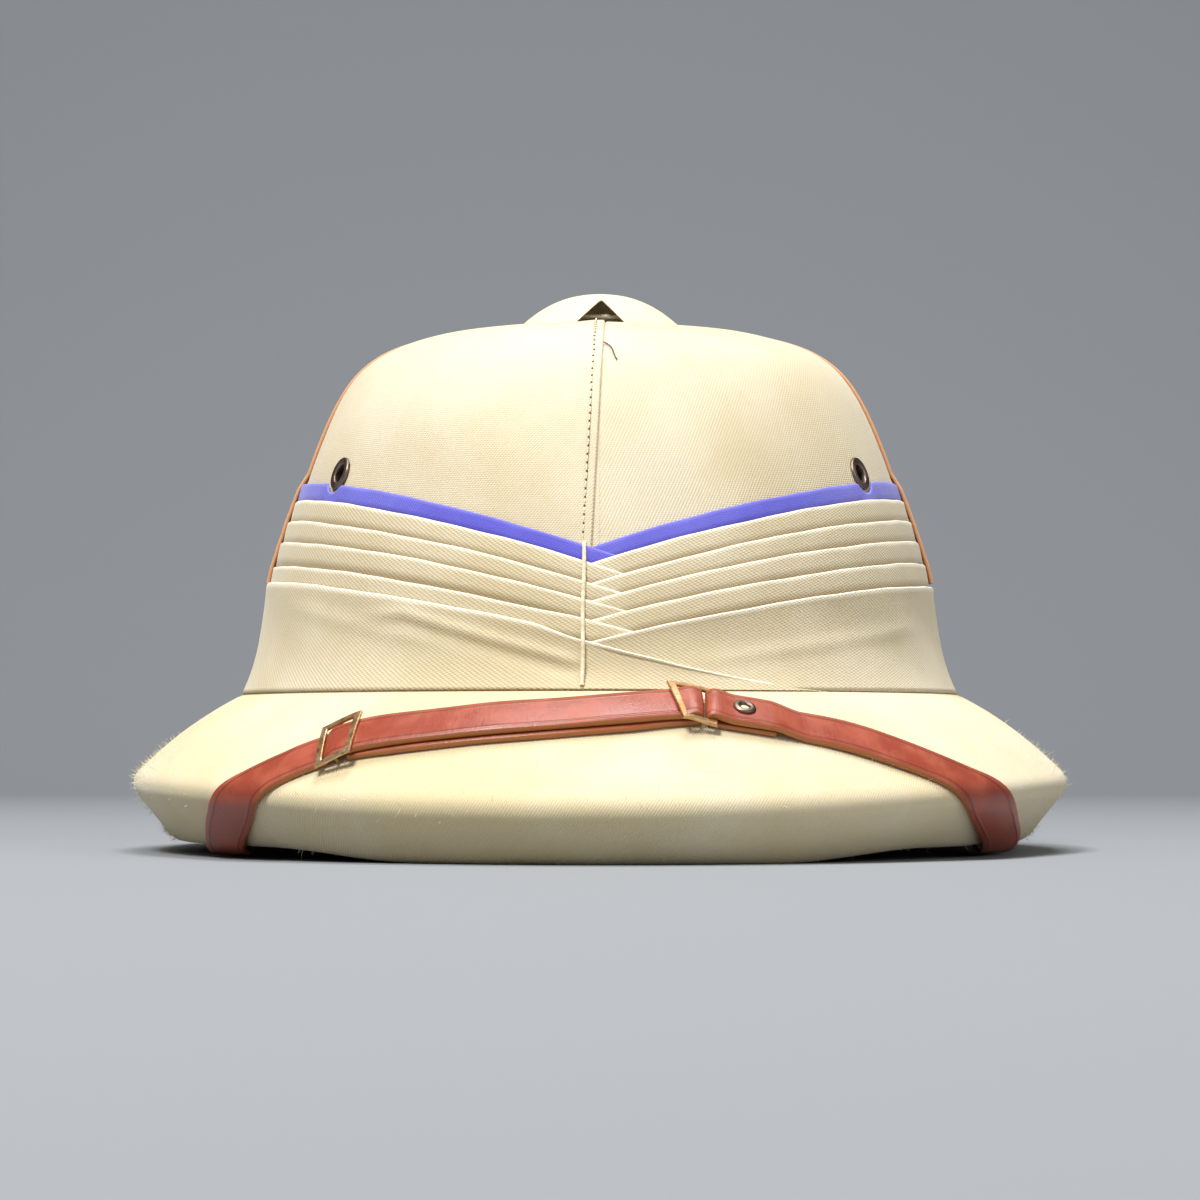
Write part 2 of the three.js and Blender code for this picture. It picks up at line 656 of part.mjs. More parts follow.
// Vent cap: a shallow hollow dome, with three-cornered openings at its base
function ventCapSolid() {
  const { radius, height, wall, domePower } = ventCap;
  const dome = (r, size, tall) => [r * size, tall * (1 - r ** domePower)];
  const outer = [1, 0.92, 0.82, 0.7, 0.54, 0.34, 0.15, 0].map((r) => dome(r, radius, height));
  const inner = [0, 0.2, 0.5, 0.72, 0.88, 1].map((r) => dome(r, radius - wall, height - wall));
  const shell = upright(latheSolid([...inner, ...outer], 24), ventCap.baseHeight + clearance);
  const { count, halfWidth, height: openingHeight } = ventOpening;
  const outline = new THREE.Shape([
    new THREE.Vector2(-halfWidth - 1, -1), new THREE.Vector2(halfWidth + 1, -1),
    new THREE.Vector2(0, openingHeight),
  ]);
  const openings = Array.from({ length: count }, (_, i) => (
    new THREE.ExtrudeGeometry(outline, { depth: 20, bevelEnabled: false })
      .translate(0, 0, 9)
      .rotateX(Math.PI / 2)
      .rotateZ((2 * Math.PI * i) / count)
      .translate(0, crownCentreY, ventCap.baseHeight + clearance)
  ));
  return cut(shell, openings);
}

function ventCollarSolid() {
  const { tubeRadius, boreRadius, flangeRadius, flangeHeight } = collar;
  const profile = [
    [boreRadius, 150], [tubeRadius, 150], [tubeRadius, flangeHeight], [flangeRadius, flangeHeight],
    [flangeRadius, flangeHeight + 1.2], [boreRadius, flangeHeight + 1.2], [boreRadius, 150],
  ];
  return upright(latheSolid(profile, 24), 0);
}

const khakiCloth = new THREE.MeshStandardMaterial({ color: 0xe6dab8, roughness: 0.9 });
const blueCloth = new THREE.MeshStandardMaterial({ color: 0x8580ec, roughness: 0.8 });
const capCloth = new THREE.MeshStandardMaterial({ color: 0xeeeada, roughness: 0.9 });
const redLeather = new THREE.MeshStandardMaterial({ color: 0x9a4a38, roughness: 0.45 });
const russetLeather = new THREE.MeshStandardMaterial({ color: 0xc07a4c, roughness: 0.6 });
const wornBrass = new THREE.MeshStandardMaterial({ color: 0xb89b66, roughness: 0.4, metalness: 1 });
const greyMetal = new THREE.MeshStandardMaterial({ color: 0x77706a, roughness: 0.45, metalness: 1 });

const helmet = new THREE.Group();

function addPiece(name, geometry, material) {
  const mesh = new THREE.Mesh(geometry, material);
  mesh.name = name;
  helmet.add(mesh);
}

addPiece('crown', crownSolid(), khakiCloth);
addPiece('brim', brimSolid(), khakiCloth);
addPiece('puggaree', puggareeSolid(), khakiCloth);
addPiece('blue_fold', blueFoldSolid(), blueCloth);
addPiece('front_tack', frontTackSolid(), khakiCloth);
addPiece('vent_cap', ventCapSolid(), capCloth);
addPiece('vent_collar', ventCollarSolid(), greyMetal);
for (const [side, hand] of [['left', -1], ['right', 1]]) {
  addPiece(`eyelet_${side}`, eyeletSolid(hand), greyMetal);
  addPiece(`side_tape_${side}`, sideTapeSolid(hand), russetLeather);
  addPiece(`strap_post_${side}`, strapPostSolid(postsAt[side]), greyMetal);
}
addPiece('strap_left', strapLeftSolid(), redLeather);
addPiece('strap_right', strapRightSolid(), redLeather);
addPiece('slider_left', sliderSolid(leftBarAt, [
  { at: -slider.pitch, height: lowLayer + barLift },
  { at: 0, height: clearance + slider.bar / 2 },
  { at: slider.pitch, height: highLayer + barLift },
]), wornBrass);
addPiece('slider_right', sliderSolid(rightBarAt, [
  { at: -slider.pitch, height: highLayer + barLift },
  { at: 0, height: (lowLayer + overBar) / 2 },
  { at: slider.foldPitch, height: (lowLayer + overBar) / 2 },
]), wornBrass);
addPiece('strap_rivet', strapRivetSolid(), greyMetal);

export default helmet;
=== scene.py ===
import bpy
import numpy as np
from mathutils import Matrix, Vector


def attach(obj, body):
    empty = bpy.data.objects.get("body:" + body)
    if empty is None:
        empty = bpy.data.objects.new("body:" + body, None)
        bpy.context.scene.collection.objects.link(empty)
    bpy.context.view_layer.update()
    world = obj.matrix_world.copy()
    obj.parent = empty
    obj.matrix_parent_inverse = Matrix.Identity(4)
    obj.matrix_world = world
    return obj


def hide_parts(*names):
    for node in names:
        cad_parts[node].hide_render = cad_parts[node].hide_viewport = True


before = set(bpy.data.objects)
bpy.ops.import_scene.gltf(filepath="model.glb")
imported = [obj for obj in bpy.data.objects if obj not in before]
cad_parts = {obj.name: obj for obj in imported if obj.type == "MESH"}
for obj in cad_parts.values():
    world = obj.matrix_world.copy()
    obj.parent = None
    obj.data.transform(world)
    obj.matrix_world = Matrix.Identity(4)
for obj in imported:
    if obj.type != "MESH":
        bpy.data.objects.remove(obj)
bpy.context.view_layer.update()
print("frame loaded")

mm = 0.001
rng = np.random.default_rng(7)  # one seeded source for every random draw

# Shape of the helmet, in millimetres: the same oval crown, brim and folds as the CAD
centreY = -3.9
crownRows = np.array([  # height, half width, half length
    (42.3, 105.5, 124.5), (60, 101.2, 120), (80, 97.4, 116), (100, 92.6, 110.4), (120, 86.2, 103),
    (136.8, 78.7, 93.5), (147, 70.4, 83.2), (153.2, 58.2, 69.2), (156.8, 39, 47), (158.8, 10.2, 10.2)])
cavityRows = np.array([  # the same for the head hollow
    (42.3, 91.5, 110.5), (60, 88.5, 107.3), (80, 85.5, 103.6), (100, 81, 98.5), (118, 75, 91.5),
    (132, 66.5, 81.5), (140.5, 56.5, 69), (146, 41, 50), (149.2, 10.2, 10.2)])
foldRows = np.array([  # upper edge at the side, dip at the front, stand-off from the crown
    (110.8, 23.7, 1.3), (105.6, 23, 1.8), (99.3, 22.4, 2.3), (93, 21, 2.8), (86.4, 19.8, 3.3),
    (79.6, 19, 4.2)])
wideFold = 5  # row of the wide fold, the lowest
foldShape = {"cross": -1.4, "power": 2.2, "lap": 0.12, "tail": 39, "bottom": 47.3, "waist": 5.2, "flare": 0.6}
brimEdge = {  # knee's half size and height, and how far the foot lies inside it
    "front": (171.6, 15.2, 13.5), "side": (143.2, 21, 14.5), "back": (179.6, 15.2, 13.5)}
brimSize = {"lip": 48.2, "seat": 42, "inner": 30, "wallTop": 56, "land": 4.5, "curve": 0.4, "lift": 3.4}
brimHalf = {"lip": (106.1, 125.1), "inner": (91.5, 110.5), "wall": (89.2, 108)}  # half width, half length
strapRoute = np.array([  # angle, distance past the brim's knee
    (-86, 82), (-70, 48), (-57, 23.5), (-52, 14), (-46, 3), (-41, -7), (-35.5, -16.5), (-28, -24.6),
    (-14, -32), (2, -37.2), (11, -39.4), (18, -35.6), (30, -26.4), (39, -15.2), (46.5, -3), (52.5, 6),
    (58.5, 14.2), (66, 24.5), (75, 48), (88, 82)])

def spline(rows, count):  # even Catmull-Rom through table rows
    ext = np.vstack([2 * rows[0] - rows[1], rows, 2 * rows[-1] - rows[-2]])
    t = np.linspace(0, len(rows) - 1, count)
    i = np.minimum(t.astype(int), len(rows) - 2)
    f = (t - i)[:, None]
    p0, p1, p2, p3 = ext[i], ext[i + 1], ext[i + 2], ext[i + 3]
    return 0.5 * (2 * p1 + (p2 - p0) * f + (2 * p0 - 5 * p1 + 4 * p2 - p3) * f ** 2
                  + (3 * p1 - p0 - 3 * p2 + p3) * f ** 3)

def smooth(low, high, x):
    f = np.clip((x - low) / (high - low), 0, 1)
    return f * f * (3 - 2 * f)

def plan(width, length, deg, z):  # a point from half sizes and angle round the crown
    turn = np.radians(deg)
    return np.stack(np.broadcast_arrays(width * np.sin(turn), centreY - length * np.cos(turn), z), -1)

crownLine = spline(crownRows, 1500)
cavityLine = spline(cavityRows, 1500)

def crownAt(z, deg, off=0.0):
    width = np.interp(z, crownLine[:, 0], crownLine[:, 1])
    length = np.interp(z, crownLine[:, 0], crownLine[:, 2])
    return plan(width + off, length + off, deg, z)

def crownNormal(z, deg):
    across = crownAt(z, deg + 0.5) - crownAt(z, deg - 0.5)
    up = crownAt(z + 0.5, deg) - crownAt(z - 0.5, deg)
    return unit(np.cross(across, up))

def unit(v):
    return v / np.linalg.norm(v, axis=-1, keepdims=True)

def runLength(points):  # distance along a line of points
    return np.concatenate([[0], np.cumsum(np.linalg.norm(np.diff(points, axis=0), axis=1))])

def brimLine(deg, eased=False):  # outline at each angle, lip to inner wall; eased corners under the strap
    deg = np.atleast_1d(np.asarray(deg, float))
    turn = np.radians(deg)
    s, c = np.sin(turn), np.cos(turn)
    side = np.array(brimEdge["side"])
    end = np.where((c >= 0)[:, None], brimEdge["front"], brimEdge["back"])
    away = np.abs((deg + 180) % 360 - 180)
    land = brimSize["lift"] * smooth(22, 46, away) * (1 - smooth(118, 150, away))
    kneeZ = side[1] * s ** 2 + end[:, 1] * c ** 2
    lip = plan(*brimHalf["lip"], deg, brimSize["lip"])
    knee = plan(side[0], end[:, 0], deg, kneeZ)
    foot = plan(side[0] - side[2], end[:, 0] - end[:, 2], deg, land)
    heelIn = brimSize["land"]
    heel = plan(side[0] - side[2] - heelIn, end[:, 0] - end[:, 2] - heelIn, deg, land)
    inner = plan(*brimHalf["inner"], deg, brimSize["inner"])
    seat = plan(*brimHalf["inner"], deg, brimSize["seat"])
    wall = plan(*brimHalf["wall"], deg, brimSize["wallTop"])
    if eased:
        heel = heel + np.array((0, 0, -0.5))
        inner = inner + (np.array((0, centreY, 0)) - inner) * 1.4 / 60

    def top(f):
        p = lip + (knee - lip) * f
        fall = (1 - brimSize["curve"]) * f + brimSize["curve"] * f * f
        p[:, 2] = lip[:, 2] - (lip[:, 2] - knee[:, 2]) * fall
        return p

    def bend(a, b, d, f):
        return a * (1 - f) ** 2 + 2 * b * f * (1 - f) + d * f * f

    faceStart, faceEnd = knee + (foot - knee) * 0.25, knee + (foot - knee) * 0.84
    landStart = foot + (heel - foot) * 0.45
    points = [top(0.9 * f) for f in np.linspace(0, 1, 25)[:-1]]
    points += [bend(top(0.9), knee, faceStart, f) for f in np.linspace(0, 1, 13)]
    points += [faceStart + (faceEnd - faceStart) * f for f in (0.33, 0.66)]
    points += [bend(faceEnd, foot, landStart, f) for f in np.linspace(0, 1, 9)]
    points += [heel] + [heel + (inner - heel) * f for f in (0.2, 0.4, 0.6, 0.8)] + [inner, seat, wall]
    return np.stack(points, 1)

kneeIndex = 30  # the knee among brimLine's points

def brimAt(deg, past):  # a point on the brim by angle and distance past the knee
    deg, past = np.broadcast_arrays(np.asarray(deg, float), np.asarray(past, float))
    shape = deg.shape
    line = brimLine(deg.ravel(), eased=True)
    step = np.linalg.norm(np.diff(line, axis=1), axis=2)
    reach = np.concatenate([np.zeros((len(line), 1)), np.cumsum(step, 1)], 1)
    reach = reach - reach[:, kneeIndex:kneeIndex + 1]
    want = past.ravel()[:, None]
    i = np.clip((reach <= want).sum(1) - 1, 0, line.shape[1] - 2)
    rows = np.arange(len(line))
    f = ((want[:, 0] - reach[rows, i]) / step[rows, i])[:, None]
    return (line[rows, i] + (line[rows, i + 1] - line[rows, i]) * f).reshape(shape + (3,))

def brimSteps(deg, past):
    across = brimAt(deg + 0.5, past) - brimAt(deg - 0.5, past)
    along = (brimAt(deg, past + 0.8) - brimAt(deg, past - 0.8)) / 1.6
    return across, along, unit(np.cross(along, across))

routeLine = spline(strapRoute, 700)
routePoints = brimAt(routeLine[:, 0], routeLine[:, 1])
routeAlong = runLength(routePoints)
routeLength = routeAlong[-1]

def alongAt(deg):
    return float(np.interp(deg, routeLine[:, 0], routeAlong))

def strapAt(along, aside, above):  # the strap's own space: along it, across it and above the brim
    along, aside, above = np.broadcast_arrays(*[np.asarray(v, float) for v in (along, aside, above)])
    deg = np.interp(along, routeAlong, routeLine[:, 0])
    past = np.interp(along, routeAlong, routeLine[:, 1])

    def near(by):
        at = np.clip(along + by, 0, routeLength)
        return brimAt(np.interp(at, routeAlong, routeLine[:, 0]), np.interp(at, routeAlong, routeLine[:, 1]))

    heading = unit(near(1.0) - near(-1.0))
    across, down, normal = brimSteps(deg, past)
    crosswise = unit(np.cross(normal, heading))
    turn = np.cross(across, down)
    size = (turn * turn).sum(-1)
    byDeg = (np.cross(crosswise, down) * turn).sum(-1) / size
    byPast = (np.cross(across, crosswise) * turn).sum(-1) / size
    place = deg + aside * byDeg, past + aside * byPast
    return brimAt(*place) + brimSteps(*place)[2] * above[..., None]

def foldLine(k, deg):
    side, dip = foldRows[k, :2]
    share = np.minimum(np.abs(deg - foldShape["cross"]) / 90, 1)
    return side - dip * (1 - share) ** foldShape["power"]

def overLine(k, deg):  # upper edge of the end that lies on top, running on past the crossing
    past = deg - foldShape["cross"]
    crossing = foldLine(k, foldShape["cross"])
    if k < wideFold:
        run = crossing - foldRows[k, 1] * foldShape["power"] / 90 * past
    else:
        left = np.maximum(1 - past / foldShape["tail"], 0)
        run = foldShape["bottom"] + (crossing - foldShape["bottom"]) * left ** 1.5
    return np.where(past <= 0, foldLine(k, deg), run)

# Mesh builders
def makeObject(name, points, faces, nodes, uv=None, marks=None, materials=(), flat=False):
    mesh = bpy.data.meshes.new(name)
    mesh.from_pydata((np.asarray(points) * mm).tolist(), [], faces)
    mesh.validate()
    if uv is not None:
        layer = mesh.uv_layers.new(name="clothUv")
        layer.data.foreach_set("uv", np.asarray(uv, np.float32).ravel())
    for key, values in (marks or {}).items():
        layer = mesh.attributes.new(key, "FLOAT", "POINT")
        layer.data.foreach_set("value", np.asarray(values, np.float32).ravel())
    for material in materials:
        mesh.materials.append(material)
    if not flat:
        mesh.polygons.foreach_set("use_smooth", np.ones(len(mesh.polygons), bool))
    mesh.update()
    obj = bpy.data.objects.new(name, mesh)
    bpy.context.scene.collection.objects.link(obj)
    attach(obj, "root")
    if nodes:
        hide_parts(*nodes)
    return obj

def gridFaces(rows, cols, wrapCols=False, wrapRows=False):
    r = np.arange(rows if wrapRows else rows - 1)
    c = np.arange(cols if wrapCols else cols - 1)
    a, b = np.meshgrid(r, c, indexing="ij")
    a2, b2 = (a + 1) % rows, (b + 1) % cols
    quads = np.stack([a * cols + b, a * cols + b2, a2 * cols + b2, a2 * cols + b], -1)
    return quads.reshape(-1, 4)

def gridUv(u, v):  # one uv per face corner; u and v carry the extra wrap entry
    both = np.stack([u, v], -1)
    return np.stack([both[:-1, :-1], both[:-1, 1:], both[1:, 1:], both[1:, :-1]], 2).reshape(-1, 2)

def joinGrids(grids):  # several (points, faces, uv, marks) made into one
    points, faces, uvs, marks, count = [], [], [], [], 0
    for p, f, uv, mark in grids:
        points.append(p.reshape(-1, 3))
        faces.append(f + count)
        uvs.append(uv)
        marks.append(np.broadcast_to(mark, p.shape[:-1]).ravel())
        count += points[-1].shape[0]
    points, faces, uvs, marks = (np.concatenate(rows) for rows in (points, faces, uvs, marks))
    return points, faces.tolist(), uvs, marks

def turned(profile, sides):  # a profile of (radius, height) turned about the axis, closed round
    profile = np.asarray(profile, float)
    angle = np.linspace(0, 2 * np.pi, sides, endpoint=False)
    points = np.stack([profile[:, :1] * np.cos(angle), profile[:, :1] * np.sin(angle),
                       np.repeat(profile[:, 1:], sides, 1)], -1)
    return points.reshape(-1, 3), gridFaces(len(profile), sides, wrapCols=True)

def standAt(points, place, direction):
    turn = Vector((0, 0, 1)).rotation_difference(Vector(direction)).to_matrix()
    return points @ np.array(turn).T + place

def tube(path, radius, sides=8):  # a round bar along points, with closed ends
    path = np.asarray(path, float)
    radius = np.broadcast_to(radius, len(path))
    way = unit(np.gradient(path, axis=0))
    side = unit(np.cross(way, np.where(np.abs(way[:, :1]) < 0.9, (1.0, 0, 0), (0, 0, 1.0))))
    up = np.cross(way, side)
    angle = np.linspace(0, 2 * np.pi, sides, endpoint=False)
    ring = side[:, None] * np.cos(angle)[:, None] + up[:, None] * np.sin(angle)[:, None]
    points = (path[:, None] + ring * radius[:, None, None]).reshape(-1, 3)
    faces = gridFaces(len(path), sides, wrapCols=True).tolist()
    last = (len(path) - 1) * sides
    return points, faces + [list(range(sides)), [last + i for i in reversed(range(sides))]]

def joinParts(parts):
    points, faces = [], []
    for p, f in parts:
        start = sum(len(q) for q in points)
        faces += [[int(i) + start for i in face] for face in f]
        points.append(np.asarray(p))
    return np.concatenate(points), faces

# Materials
def linear(rgb):
    c = np.array(rgb, float) / 255
    return tuple(np.where(c <= 0.04045, c / 12.92, ((c + 0.055) / 1.055) ** 2.4)) + (1.0,)

class Tree:
    def __init__(self, name):
        self.material = bpy.data.materials.new(name)
        self.material.use_nodes = True
        self.tree = self.material.node_tree
        self.shader = self.tree.nodes["Principled BSDF"]

    def add(self, kind, settings=None, **inputs):
        node = self.tree.nodes.new("ShaderNode" + kind)
        for key, value in (settings or {}).items():
            setattr(node, key, value)
        for key, value in inputs.items():
            self.put(node.inputs[key.replace("_", " ")], value)
        return node

    def put(self, socket, value):
        if isinstance(value, bpy.types.NodeSocket):
            self.tree.links.new(value, socket)
        else:
            socket.default_value = value

    def mix(self, factor, a, b):
        node = self.add("Mix", {"data_type": "RGBA"})
        for index, value in ((0, factor), (6, a), (7, b)):
            self.put(node.inputs[index], value)
        return node.outputs[2]

    def math(self, operation, a, b=0.0):
        node = self.add("Math", {"operation": operation})
        self.put(node.inputs[0], a)
        self.put(node.inputs[1], b)
        return node.outputs[0]

    def ramp(self, value, low, high):
        settings = {"interpolation_type": "SMOOTHSTEP"}
        return self.add("MapRange", settings, Value=value, From_Min=low, From_Max=high).outputs[0]

    def finish(self, **inputs):
        for key, value in inputs.items():
            self.put(self.shader.inputs[key.replace("_", " ")], value)
        return self.material

def clothMaterial(name, look):
    t = Tree(name)
    uv = t.add("UVMap", {"uv_map": "clothUv"}).outputs[0]
    place = t.add("TexCoord").outputs["Object"]
    yarn = t.add("TexNoise", Vector=uv, Scale=0.55, Detail=3.0).outputs[0]

    def wave(turn, pitch, uneven):
        turned = t.add("Mapping", Vector=uv, Rotation=(0, 0, np.radians(turn))).outputs[0]
        return t.add("TexWave", {"bands_direction": "X"}, Vector=turned, Scale=np.pi / 10 / pitch,
                     Distortion=uneven, Detail=2.0, Detail_Scale=0.8).outputs["Fac"]

    rib = wave(look["turn"], look["pitch"], 0.7)
    warp = wave(look["turn"] + 52, look["pitch"] * 0.72, 0.5)
    weave = t.math("ADD", t.math("MULTIPLY", rib, 0.65), t.math("MULTIPLY", warp, 0.35))
    stain = t.add("TexNoise", Vector=place, Scale=look["stainScale"], Detail=5.0, Roughness=0.6).outputs[0]
    fleck = t.add("TexNoise", Vector=uv, Scale=1.7, Detail=2.0).outputs[0]
    colour = t.mix(t.ramp(stain, 0.38, 0.68), linear(look["base"]), linear(look["worn"]))
    shade = t.math("MULTIPLY", t.math("SUBTRACT", 1.0, weave), look["weaveTone"])
    colour = t.mix(shade, colour, linear(look["deep"]))
    colour = t.mix(t.math("MULTIPLY", t.ramp(fleck, 0.62, 0.74), look["fleck"]), colour, linear(look["deep"]))
    # painted highlight: on the folds the edge mark lightens the rolled upper edges as if they caught the light,
    # with some edge wear
    edge = t.add("Attribute", {"attribute_name": "edge"}).outputs["Fac"]
    colour = t.mix(t.math("MULTIPLY", edge, 0.75), colour, linear(look["edge"]))
    # painted shade: the tuck mark darkens the cloth under the fold above and in the groove beside the front
    # seam
    tuckShade = t.add("Attribute", {"attribute_name": "tuckShade"}).outputs["Fac"]
    colour = t.mix(t.math("MULTIPLY", tuckShade, 0.8), colour, linear(look["tuckShade"]))
    high = t.math("ADD", t.math("MULTIPLY", weave, 0.8), t.math("MULTIPLY", yarn, 0.5))
    bump = t.add("Bump", Strength=look["relief"], Distance=0.00022, Height=high).outputs[0]
    return t.finish(Base_Color=colour, Roughness=look.get("rough", 0.92), Normal=bump, Sheen_Weight=0.25,
                    Sheen_Roughness=0.5, Specular_IOR_Level=0.2)

def leatherMaterial(name, look):
    t = Tree(name)
    uv = t.add("UVMap", {"uv_map": "clothUv"}).outputs[0]
    grain = t.add("TexVoronoi", {"feature": "DISTANCE_TO_EDGE"}, Vector=uv, Scale=1.6).outputs[0]
    wear = t.add("TexNoise", Vector=uv, Scale=0.08, Detail=4.0, Roughness=0.55).outputs[0]
    across = t.add("SeparateXYZ", Vector=uv).outputs["Y"]
    fromMiddle = t.math("ABSOLUTE", t.math("SUBTRACT", across, look["middle"]))
    fromLine = t.math("ABSOLUTE", t.math("SUBTRACT", fromMiddle, look["crease"]))
    crease = t.math("SUBTRACT", 1.0, t.ramp(fromLine, 0.15, 0.55))
    crack = t.add("TexNoise", Vector=t.add("Mapping", Vector=uv, Scale=(1.1, 0.16, 1)).outputs[0], Scale=1.0,
                  Detail=4.0).outputs[0]
    colour = t.mix(t.ramp(wear, 0.42, 0.66), linear(look["base"]), linear(look["worn"]))
    colour = t.mix(t.math("MULTIPLY", t.ramp(crack, 0.56, 0.7), 0.3), colour, linear(look["dark"]))
    colour = t.mix(t.math("MULTIPLY", crease, 0.6), colour, linear(look["dark"]))
    edge = t.add("Attribute", {"attribute_name": "edge"}).outputs["Fac"]
    colour = t.mix(t.math("MULTIPLY", edge, 0.9), colour, linear(look["edge"]))
    high = t.math("ADD", t.math("MULTIPLY", grain, 0.5), t.math("MULTIPLY", crack, 0.5))
    high = t.math("SUBTRACT", high, crease)
    bump = t.add("Bump", Strength=0.4, Distance=0.0003, Height=high).outputs[0]
    rough = t.add("MapRange", Value=wear, From_Min=0.3, From_Max=0.7, To_Min=look["rough"] - 0.1,
                  To_Max=look["rough"] + 0.15).outputs[0]
    return t.finish(Base_Color=colour, Roughness=rough, Normal=bump, Specular_IOR_Level=0.5)

def metalMaterial(name, look):
    t = Tree(name)
    place = t.add("TexCoord").outputs["Object"]
    spots = t.add("TexNoise", Vector=place, Scale=420.0, Detail=4.0).outputs[0]
    cloud = t.add("TexNoise", Vector=place, Scale=150.0, Detail=3.0).outputs[0]
    colour = t.mix(t.ramp(cloud, 0.4, 0.65), linear(look["base"]), linear(look["worn"]))
    colour = t.mix(t.math("MULTIPLY", t.ramp(spots, 0.58, 0.7), 0.5), colour, linear(look["dark"]))
    rough = t.add("MapRange", Value=spots, From_Min=0.3, From_Max=0.7, To_Min=look["rough"],
                  To_Max=look["rough"] + 0.25).outputs[0]
    bump = t.add("Bump", Strength=0.15, Distance=0.0002, Height=spots).outputs[0]
    return t.finish(Base_Color=colour, Metallic=look["metal"], Roughness=rough, Normal=bump)

# the khaki and blue edge colours are painted highlight on the rolled fold edges, with some wear
# the tuck colour of each cloth look is painted shade
khakiLook = {
    "base": (220, 205, 168), "worn": (231, 220, 193), "deep": (142, 118, 76), "edge": (247, 240, 219),
    "tuckShade": (150, 128, 90), "turn": 38, "pitch": 0.9, "weaveTone": 0.3, "fleck": 0.3, "stainScale": 14.0,
    "relief": 0.55}
khaki = clothMaterial("khakiCloth", khakiLook)
brimKhaki = clothMaterial("brimCloth", {
    **khakiLook, "base": (224, 208, 166), "worn": (233, 221, 190), "turn": -34, "pitch": 0.8, "weaveTone": 0.26,
    "relief": 0.5})
bandKhaki = clothMaterial("bandCloth", {
    **khakiLook, "base": (217, 202, 165), "worn": (228, 216, 186), "turn": 58, "pitch": 0.95, "weaveTone": 0.28,
    "relief": 0.6})
capKhaki = clothMaterial("capCloth", {
    **khakiLook, "base": (226, 213, 178), "worn": (234, 224, 194), "turn": 20})
blue = clothMaterial("blueCloth", {
    "base": (100, 97, 208), "worn": (120, 118, 222), "deep": (58, 50, 150), "edge": (160, 158, 236),
    "tuckShade": (60, 52, 150), "turn": 45, "pitch": 0.7, "weaveTone": 0.3, "fleck": 0.1, "stainScale": 20.0,
    "relief": 0.4, "rough": 0.75})
russet = clothMaterial("russetTape", {
    "base": (198, 132, 88), "worn": (210, 150, 108), "deep": (142, 84, 50), "edge": (224, 170, 124),
    "tuckShade": (120, 62, 34), "turn": 0, "pitch": 0.9, "weaveTone": 0.4, "fleck": 0.2, "stainScale": 20.0,
    "relief": 0.5})
leather = leatherMaterial("redLeather", {
    "base": (148, 64, 43), "worn": (166, 80, 56), "dark": (100, 40, 26), "edge": (172, 108, 54),
    "rough": 0.36, "middle": 6.55, "crease": 5.0})
brass = metalMaterial("wornBrass", {
    "base": (182, 142, 98), "worn": (204, 174, 136), "dark": (96, 72, 52), "rough": 0.34, "metal": 1.0})
greyMetal = metalMaterial("greyMetal", {
    "base": (112, 92, 82), "worn": (150, 132, 120), "dark": (56, 40, 32), "rough": 0.32, "metal": 1.0})
threadTree = Tree("creamThread")
threadPlace = threadTree.add("TexCoord").outputs["Object"]
threadSpots = threadTree.add("TexNoise", Vector=threadPlace, Scale=900.0).outputs[0]
threadColour = threadTree.mix(threadSpots, linear((214, 198, 158)), linear((246, 238, 214)))
cream = threadTree.finish(Base_Color=threadColour, Roughness=0.9, Specular_IOR_Level=0.2)
print("materials made")

# Crown: cloth over pith, four panels with lapped seams at the front and back
# the groove's tone is painted shade in the groove beside the front seam
crownLook = {"cols": 420, "rows": 84, "innerRows": 30, "lap": 0.5, "lapWidth": 9.0, "lapFlat": 2.0,
             "frontSoft": 0.12, "backSoft": 0.5, "lump": 0.35, "groove": 0.35, "grooveShadeTone": 0.7}
frontSeam = {"height": (87, 158), "across": (-2.4, 1.5)}  # the seam leans to the right
fineSpan = (-9, 4, 105)  # closer columns at the front seam: from, to, count

def seamAcross(z):
    return np.interp(z, frontSeam["height"], frontSeam["across"])

def crownColumns():
    even = np.linspace(-180, 180, crownLook["cols"] + 1)[:-1]
    clear = (even < fineSpan[0] - 0.2) | (even > fineSpan[1] + 0.2)
    return np.sort(np.concatenate([even[clear], np.linspace(*fineSpan)]))

def crownRelief(points, normal, deg):  # lumps, lapped seams and the groove beside the front seam
    x, y, z = points[..., 0], points[..., 1], points[..., 2]
    lump = np.sin(x / 17 + z / 23) * np.sin(y / 19 - z / 29) + 0.5 * np.sin(x / 7.3 + y / 9.1 + z / 11)

    def lapOf(across, soft):
        return smooth(soft, -soft, across) * smooth(-crownLook["lapWidth"], -crownLook["lapFlat"], across)

    across = x - seamAcross(z)
    onFront = (y < centreY) & (np.abs(deg) < 40)
    onBack = (y > centreY) & (np.abs(deg) > 140)
    lap = np.where(onFront, lapOf(across, crownLook["frontSoft"]), 0)
    lap = lap + np.where(onBack, lapOf(x, crownLook["backSoft"]), 0)
    groove = np.where(onFront, np.exp(-((across - 0.15) / 0.3) ** 2), 0)
    fade = smooth(158.6, 154, z)
    rise = lump * crownLook["lump"] * fade + lap * crownLook["lap"] - groove * crownLook["groove"]
    # the second value is painted shade, darkening the groove as if shadow lay in it
    return points + normal * rise[..., None], groove * crownLook["grooveShadeTone"]

def domeGrid(line, rows, deg):
    i = np.linspace(0, 1, rows) * (len(line) - 1)
    z, w, l = (np.interp(i, np.arange(len(line)), line[:, k]) for k in range(3))
    return plan(w[:, None], l[:, None], deg[None, :], z[:, None])

